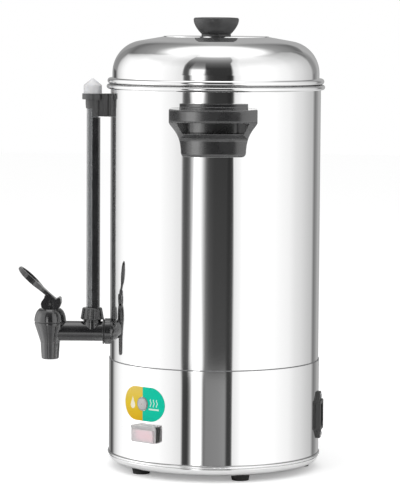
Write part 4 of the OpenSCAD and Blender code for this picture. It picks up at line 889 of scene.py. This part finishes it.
def screw_tree():
    tree, given, done = new_rule(
        "domed_screw", Head_Width=8.0, Head_Height=2.4, Shank_Width=4.0, Shank_Length=8.0,
        Washer_Width=0.0, Washer_Thickness=1.0, Nut_Width=0.0, Nut_Height=3.0, Nut_Distance=4.0,
        Recess_Length=4.4, Recess_Width=0.9, Recess_Depth=1.3)

    def half(amount):
        return times(tree, amount, 0.5)

    def raised(mesh, z):
        lift = add(tree, "ShaderNodeCombineXYZ", Z=z)
        return add(tree, "GeometryNodeTransform", Geometry=mesh,
                   Translation=lift.outputs[0]).outputs["Geometry"]

    def rod(width, length, sides=40):
        return add(tree, "GeometryNodeMeshCylinder", Vertices=sides, Radius=half(width),
                   Depth=length).outputs["Mesh"]

    def box(x, y, z):
        size = add(tree, "ShaderNodeCombineXYZ", X=x, Y=y, Z=z)
        return add(tree, "GeometryNodeMeshCube", Size=size.outputs[0]).outputs["Mesh"]

    def combined(operation, first, others):
        node = add(tree, "GeometryNodeMeshBoolean", {"operation": operation, "solver": "EXACT"})
        tree.links.new(first, node.inputs["Mesh 1" if operation == "DIFFERENCE" else "Mesh 2"])
        for mesh in others:
            tree.links.new(mesh, node.inputs["Mesh 2"])
        return node.outputs["Mesh"]

    def above(amount, limit):
        return add(tree, "FunctionNodeCompare", {"operation": "GREATER_THAN"},
                   A=amount, B=limit).outputs[0]

    # A ball that just reaches the top of the head and 0.45 of its height at the edge.
    crown = times(tree, given["Head Height"], CROWN_SHARE)
    edge = half(given["Head Width"])
    squares = maths(tree, "ADD", maths(tree, "POWER", edge, 2), maths(tree, "POWER", crown, 2))
    ball = maths(tree, "DIVIDE", squares, times(tree, crown, 2))
    sphere = add(tree, "GeometryNodeMeshUVSphere", Segments=48, Rings=48, Radius=ball).outputs["Mesh"]
    sphere = raised(sphere, maths(tree, "SUBTRACT", given["Head Height"], ball))
    head = combined("INTERSECT", raised(rod(given["Head Width"], given["Head Height"]),
                    half(given["Head Height"])), [sphere])
    depth = times(tree, given["Recess Depth"], 2)
    slot = (given["Recess Length"], given["Recess Width"])
    cross = [raised(box(*sizes, depth), given["Head Height"]) for sizes in (slot, slot[::-1])]
    head = combined("DIFFERENCE", head, cross)
    whole_shank = maths(tree, "ADD", given["Shank Length"], SUNK_SHANK)
    shank = raised(rod(given["Shank Width"], whole_shank, 28),
                   maths(tree, "SUBTRACT", SUNK_SHANK, half(whole_shank)))
    washer = raised(rod(given["Washer Width"], given["Washer Thickness"]),
                    half(times(tree, given["Washer Thickness"], -1)))
    nut_middle = maths(tree, "ADD", given["Nut Distance"], half(given["Nut Height"]))
    nut = raised(rod(given["Nut Width"], given["Nut Height"], NUT_SIDES), times(tree, nut_middle, -1))
    join = add(tree, "GeometryNodeJoinGeometry")
    tree.links.new(head, join.inputs[0])
    tree.links.new(shank, join.inputs[0])
    for mesh, width in ((washer, given["Washer Width"]), (nut, given["Nut Width"])):
        pick = add(tree, "GeometryNodeSwitch", {"input_type": "GEOMETRY"}, Switch=above(width, 0.1))
        tree.links.new(mesh, pick.inputs["True"])
        tree.links.new(pick.outputs["Output"], join.inputs[0])
    # Each point carries the way its screw's head faces.
    facing = add(tree, "GeometryNodeInputNamedAttribute", {"data_type": "FLOAT_VECTOR"}, Name="facing")
    turn = add(tree, "FunctionNodeAlignRotationToVector", {"axis": "Z"}, Vector=facing.outputs[0])
    spin = add(tree, "FunctionNodeRandomValue", {"data_type": "FLOAT"}, Seed=5)
    spin.inputs[3].default_value = MOST_SPIN
    own = add(tree, "ShaderNodeCombineXYZ", Z=spin.outputs[1])
    spun = add(tree, "FunctionNodeRotateRotation", {"rotation_space": "LOCAL"})
    tree.links.new(turn.outputs[0], spun.inputs[0])
    tree.links.new(own.outputs[0], spun.inputs[1])
    finished = in_metal(tree, given, join.outputs[0], Rotation=spun.outputs[0], Scale=(MM, MM, MM))
    corner = above(add(tree, "GeometryNodeInputMeshEdgeAngle").outputs[0], math.radians(SHARP_ANGLE))
    sharp = add(tree, "GeometryNodeSetShadeSmooth", {"domain": "EDGE"}, Geometry=finished,
                Selection=corner, Shade_Smooth=False)
    fill(tree, done, Geometry=sharp.outputs[0])
    return tree


domed_screw = screw_tree()
print("screw tree has", len(domed_screw.nodes), "nodes")


# %% [markdown]
# A tree is set on a small mesh of points and evaluated once. The result is kept
# as a plain mesh, and the points and the modifier are thrown away.

# %% Bake a tree into a plain piece
def piece_from_tree(name, tree, points, facings, **sizes):
    start = bpy.data.meshes.new(name + "_points")
    start.from_pydata([tuple(p) for p in points], [], [])
    if facings:
        attribute = start.attributes.new("facing", "FLOAT_VECTOR", "POINT")
        for item, direction in zip(attribute.data, facings):
            item.vector = direction
    seed = new_object(name + "_seed", start)
    modifier = seed.modifiers.new("rule", "NODES")
    modifier.node_group = tree
    wanted = {item.name: item.identifier for item in tree.interface.items_tree
              if item.item_type == "SOCKET" and item.in_out == "INPUT"}
    for key, size in sizes.items():
        modifier[wanted[key.replace("_", " ")]] = size
    seen = seed.evaluated_get(bpy.context.evaluated_depsgraph_get())
    mesh = bpy.data.meshes.new_from_object(seen)
    mesh.name = name
    piece = new_object(name, mesh)
    bpy.data.objects.remove(seed)
    print(name, "has", len(mesh.polygons), "faces on", len(points), "points")
    return piece


def screws(name, node, body, places, facings, **sizes):
    piece = piece_from_tree(name, domed_screw, places, facings, Metal=screw_steel, **sizes)
    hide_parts(node)
    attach(piece, body)


# %% [markdown]
# ## The screws
# The feet are held by screws from below, whose heads lie deep in the rubber. The
# handles and the gauge bracket are held from inside the tank, with a washer that
# keeps the water in. Two small screws hold the power inlet from outside, each in
# a nut behind the wall, and one screw under the lid holds its knob.

# %% Foot screws
FOOT_HEAD_UNDERSIDE = 3.45
foot_places = [Vector((middle(solid).x, middle(solid).y, FOOT_HEAD_UNDERSIDE * MM))
               for solid in solids_of("foot_screws")]
screws("foot_screw_set", "foot_screws", "urn", foot_places, [DOWN] * len(foot_places),
       Head_Width=8.0, Head_Height=2.4, Shank_Width=4.0, Shank_Length=8.3, Nut_Width=8.08,
       Nut_Height=3.0, Nut_Distance=3.9, Recess_Length=4.2, Recess_Width=0.9, Recess_Depth=1.3)


# %% Handle and bracket screws, from inside the tank
def from_inside(node, head_inside_mm):
    """Where the undersides of the heads lie, and which way the heads face."""
    places, facings = [], []
    for solid in solids_of(node):
        centre = middle(solid)
        out = Vector((centre.x, centre.y, 0)).normalized()
        inner = min(out.dot(p) for p in solid)
        places.append(out * (inner + head_inside_mm * MM) + Vector((0, 0, centre.z)))
        facings.append(-out)
    return places, facings


HEAD_PER_WIDTH, WASHER_PER_WIDTH = 0.6, 2.6
for piece, node, width, length, recess in (
        ("handle_screw_set", "handle_screws", 5.0, 10.4, (5.4, 1.1, 1.7)),
        ("bracket_screw_set", "bracket_screws", 4.0, 7.4, (4.4, 0.9, 1.4))):
    places, facings = from_inside(node, HEAD_PER_WIDTH * width)
    screws(piece, node, "urn", places, facings, Head_Width=2 * width,
           Head_Height=HEAD_PER_WIDTH * width, Shank_Width=width, Shank_Length=length,
           Washer_Width=WASHER_PER_WIDTH * width, Washer_Thickness=1.0,
           Recess_Length=recess[0], Recess_Width=recess[1], Recess_Depth=recess[2])


# %% Inlet screws, from outside
INLET_ANGLE, INLET_FACE_R = 81.5, 113.7
places = [on_wall(INLET_ANGLE, INLET_FACE_R, middle(solid).z / MM)
          for solid in solids_of("inlet_screws")]
screws("inlet_screw_set", "inlet_screws", "urn", places, [outward(INLET_ANGLE)] * len(places),
       Head_Width=5.6, Head_Height=1.6, Shank_Width=3.0, Shank_Length=8.0, Nut_Width=5.5,
       Nut_Height=2.4, Nut_Distance=3.95, Recess_Length=3.2, Recess_Width=0.7, Recess_Depth=0.9)


# %% Knob screw, under the lid
knob_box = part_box("knob_screw")
KNOB_HEAD = 3.0
screws("knob_screw_piece", "knob_screw", "lid", [Vector((0, 0, knob_box[0][2] + KNOB_HEAD * MM))],
       [DOWN], Head_Width=9.0, Head_Height=KNOB_HEAD, Shank_Width=5.0,
       Shank_Length=(knob_box[1][2] - knob_box[0][2]) / MM - KNOB_HEAD, Washer_Width=16.0,
       Washer_Thickness=1.2, Recess_Length=5.0, Recess_Width=1.1, Recess_Depth=1.6)


# %% [markdown]
# ## The tap's spring
# Under the bonnet a coil spring presses the valve's cup onto its seat. A spring
# follows a simple rule: a circle that climbs, except for the two end turns,
# which lie flat so that the spring stands square. The tree starts from a spiral
# curve, sets each point's height from how far along the wire it lies, and sweeps
# a round wire along it.

# %% The spring
def spring_tree():
    tree, given, done = new_rule("coil_spring", Turns=5.0, Coil_Radius=0.0046, Wire_Radius=0.0005,
                                 Length=0.0186, Flat_Share=0.13)
    spiral = add(tree, "GeometryNodeCurveSpiral", Resolution=40, Rotations=given["Turns"],
                 Start_Radius=given["Coil Radius"], End_Radius=given["Coil Radius"], Height=0.0)
    share = add(tree, "GeometryNodeSplineParameter").outputs["Factor"]
    climb = maths(tree, "SUBTRACT", given["Length"], given["Wire Radius"])
    rise = spread(tree, share, given["Flat Share"], maths(tree, "SUBTRACT", 1, given["Flat Share"]),
                  given["Wire Radius"], climb)
    lift = add(tree, "ShaderNodeCombineXYZ", Z=rise)
    raised = add(tree, "GeometryNodeSetPosition", Geometry=spiral.outputs[0], Offset=lift.outputs[0])
    ring = add(tree, "GeometryNodeCurvePrimitiveCircle", Resolution=12, Radius=given["Wire Radius"])
    wire = add(tree, "GeometryNodeCurveToMesh", Curve=raised.outputs[0], Profile_Curve=ring.outputs[0],
               Fill_Caps=True)
    fill(tree, done, Geometry=in_metal(tree, given, wire.outputs[0]))
    return tree


spring_low, spring_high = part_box("stem_spring")
stem_low, stem_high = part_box("tap_stem")
spring_axis = Vector(((stem_low[0] + stem_high[0]) / 2, 0, 0))
spring_length = spring_high[2] - spring_low[2]
spring_foot = spring_axis + Vector((0, 0, spring_low[2]))
spring = piece_from_tree("valve_spring", spring_tree(), [spring_foot], None,
                         Length=spring_length, Metal=spring_steel)
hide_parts("stem_spring")
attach(spring, "urn")
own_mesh(spring)
print("spring is", round(spring_length / MM, 1), "mm long at rest")


# %% [markdown]
# ## Finishes on the solids
# The remaining nodes keep their own shape and get a finish by name. One table
# says which, and a check makes sure that no piece is left with a plain colour.

# %% Finish each node
FINISHES = [
    (tank_steel, "tank"), (base_steel, "base_housing"), (tray_steel, "bottom_tray"),
    (lid_steel, "lid_dome"), (screw_steel, "foot_screws knob_screw handle_screws bracket_screws"),
    (screw_steel, "inlet_screws tie_studs tie_nuts shank_locknut"),
    (tap_black, "tap_body tap_spout shank_washer tap_bonnet tap_lever gauge_nut glass_shield"),
    (handle_black, "front_handle rear_handle"), (knob_black, "lid_knob"),
    (bracket_black, "gauge_bracket"),
    (stem_black, "tap_stem lever_pin"), (matt_black, "switch_body power_inlet"),
    (seal_grey, "seam_seal"), (foot_rubber, "feet"), (gasket_rubber, "shank_gasket"),
    (silicone, "seat_cup gauge_seal"), (spring_steel, "stem_spring"), (tube_glass, "sight_glass"),
    (plug_white, "vent_plug"), (label_film, "control_label"), (lamp_lens, "lamp_lens"),
    (holder_grey, "lamp_holder"), (rocker_red, "switch_rocker"), (cover_vinyl, "splash_cover"),
    (contact_metal, "inlet_pins"), (heater_cast, "heating_element"),
    (brown_phenolic, "boil_thermostat"), (ceramic, "dry_boil_cutout terminal_block"),
]
finish_of = {name: finish for finish, names in FINISHES for name in names.split()}
for name, node in nodes.items():
    for slot in node.material_slots:
        slot.material = finish_of[name]
print("finished", len(nodes), "nodes; none left plain:", set(finish_of) == set(nodes))
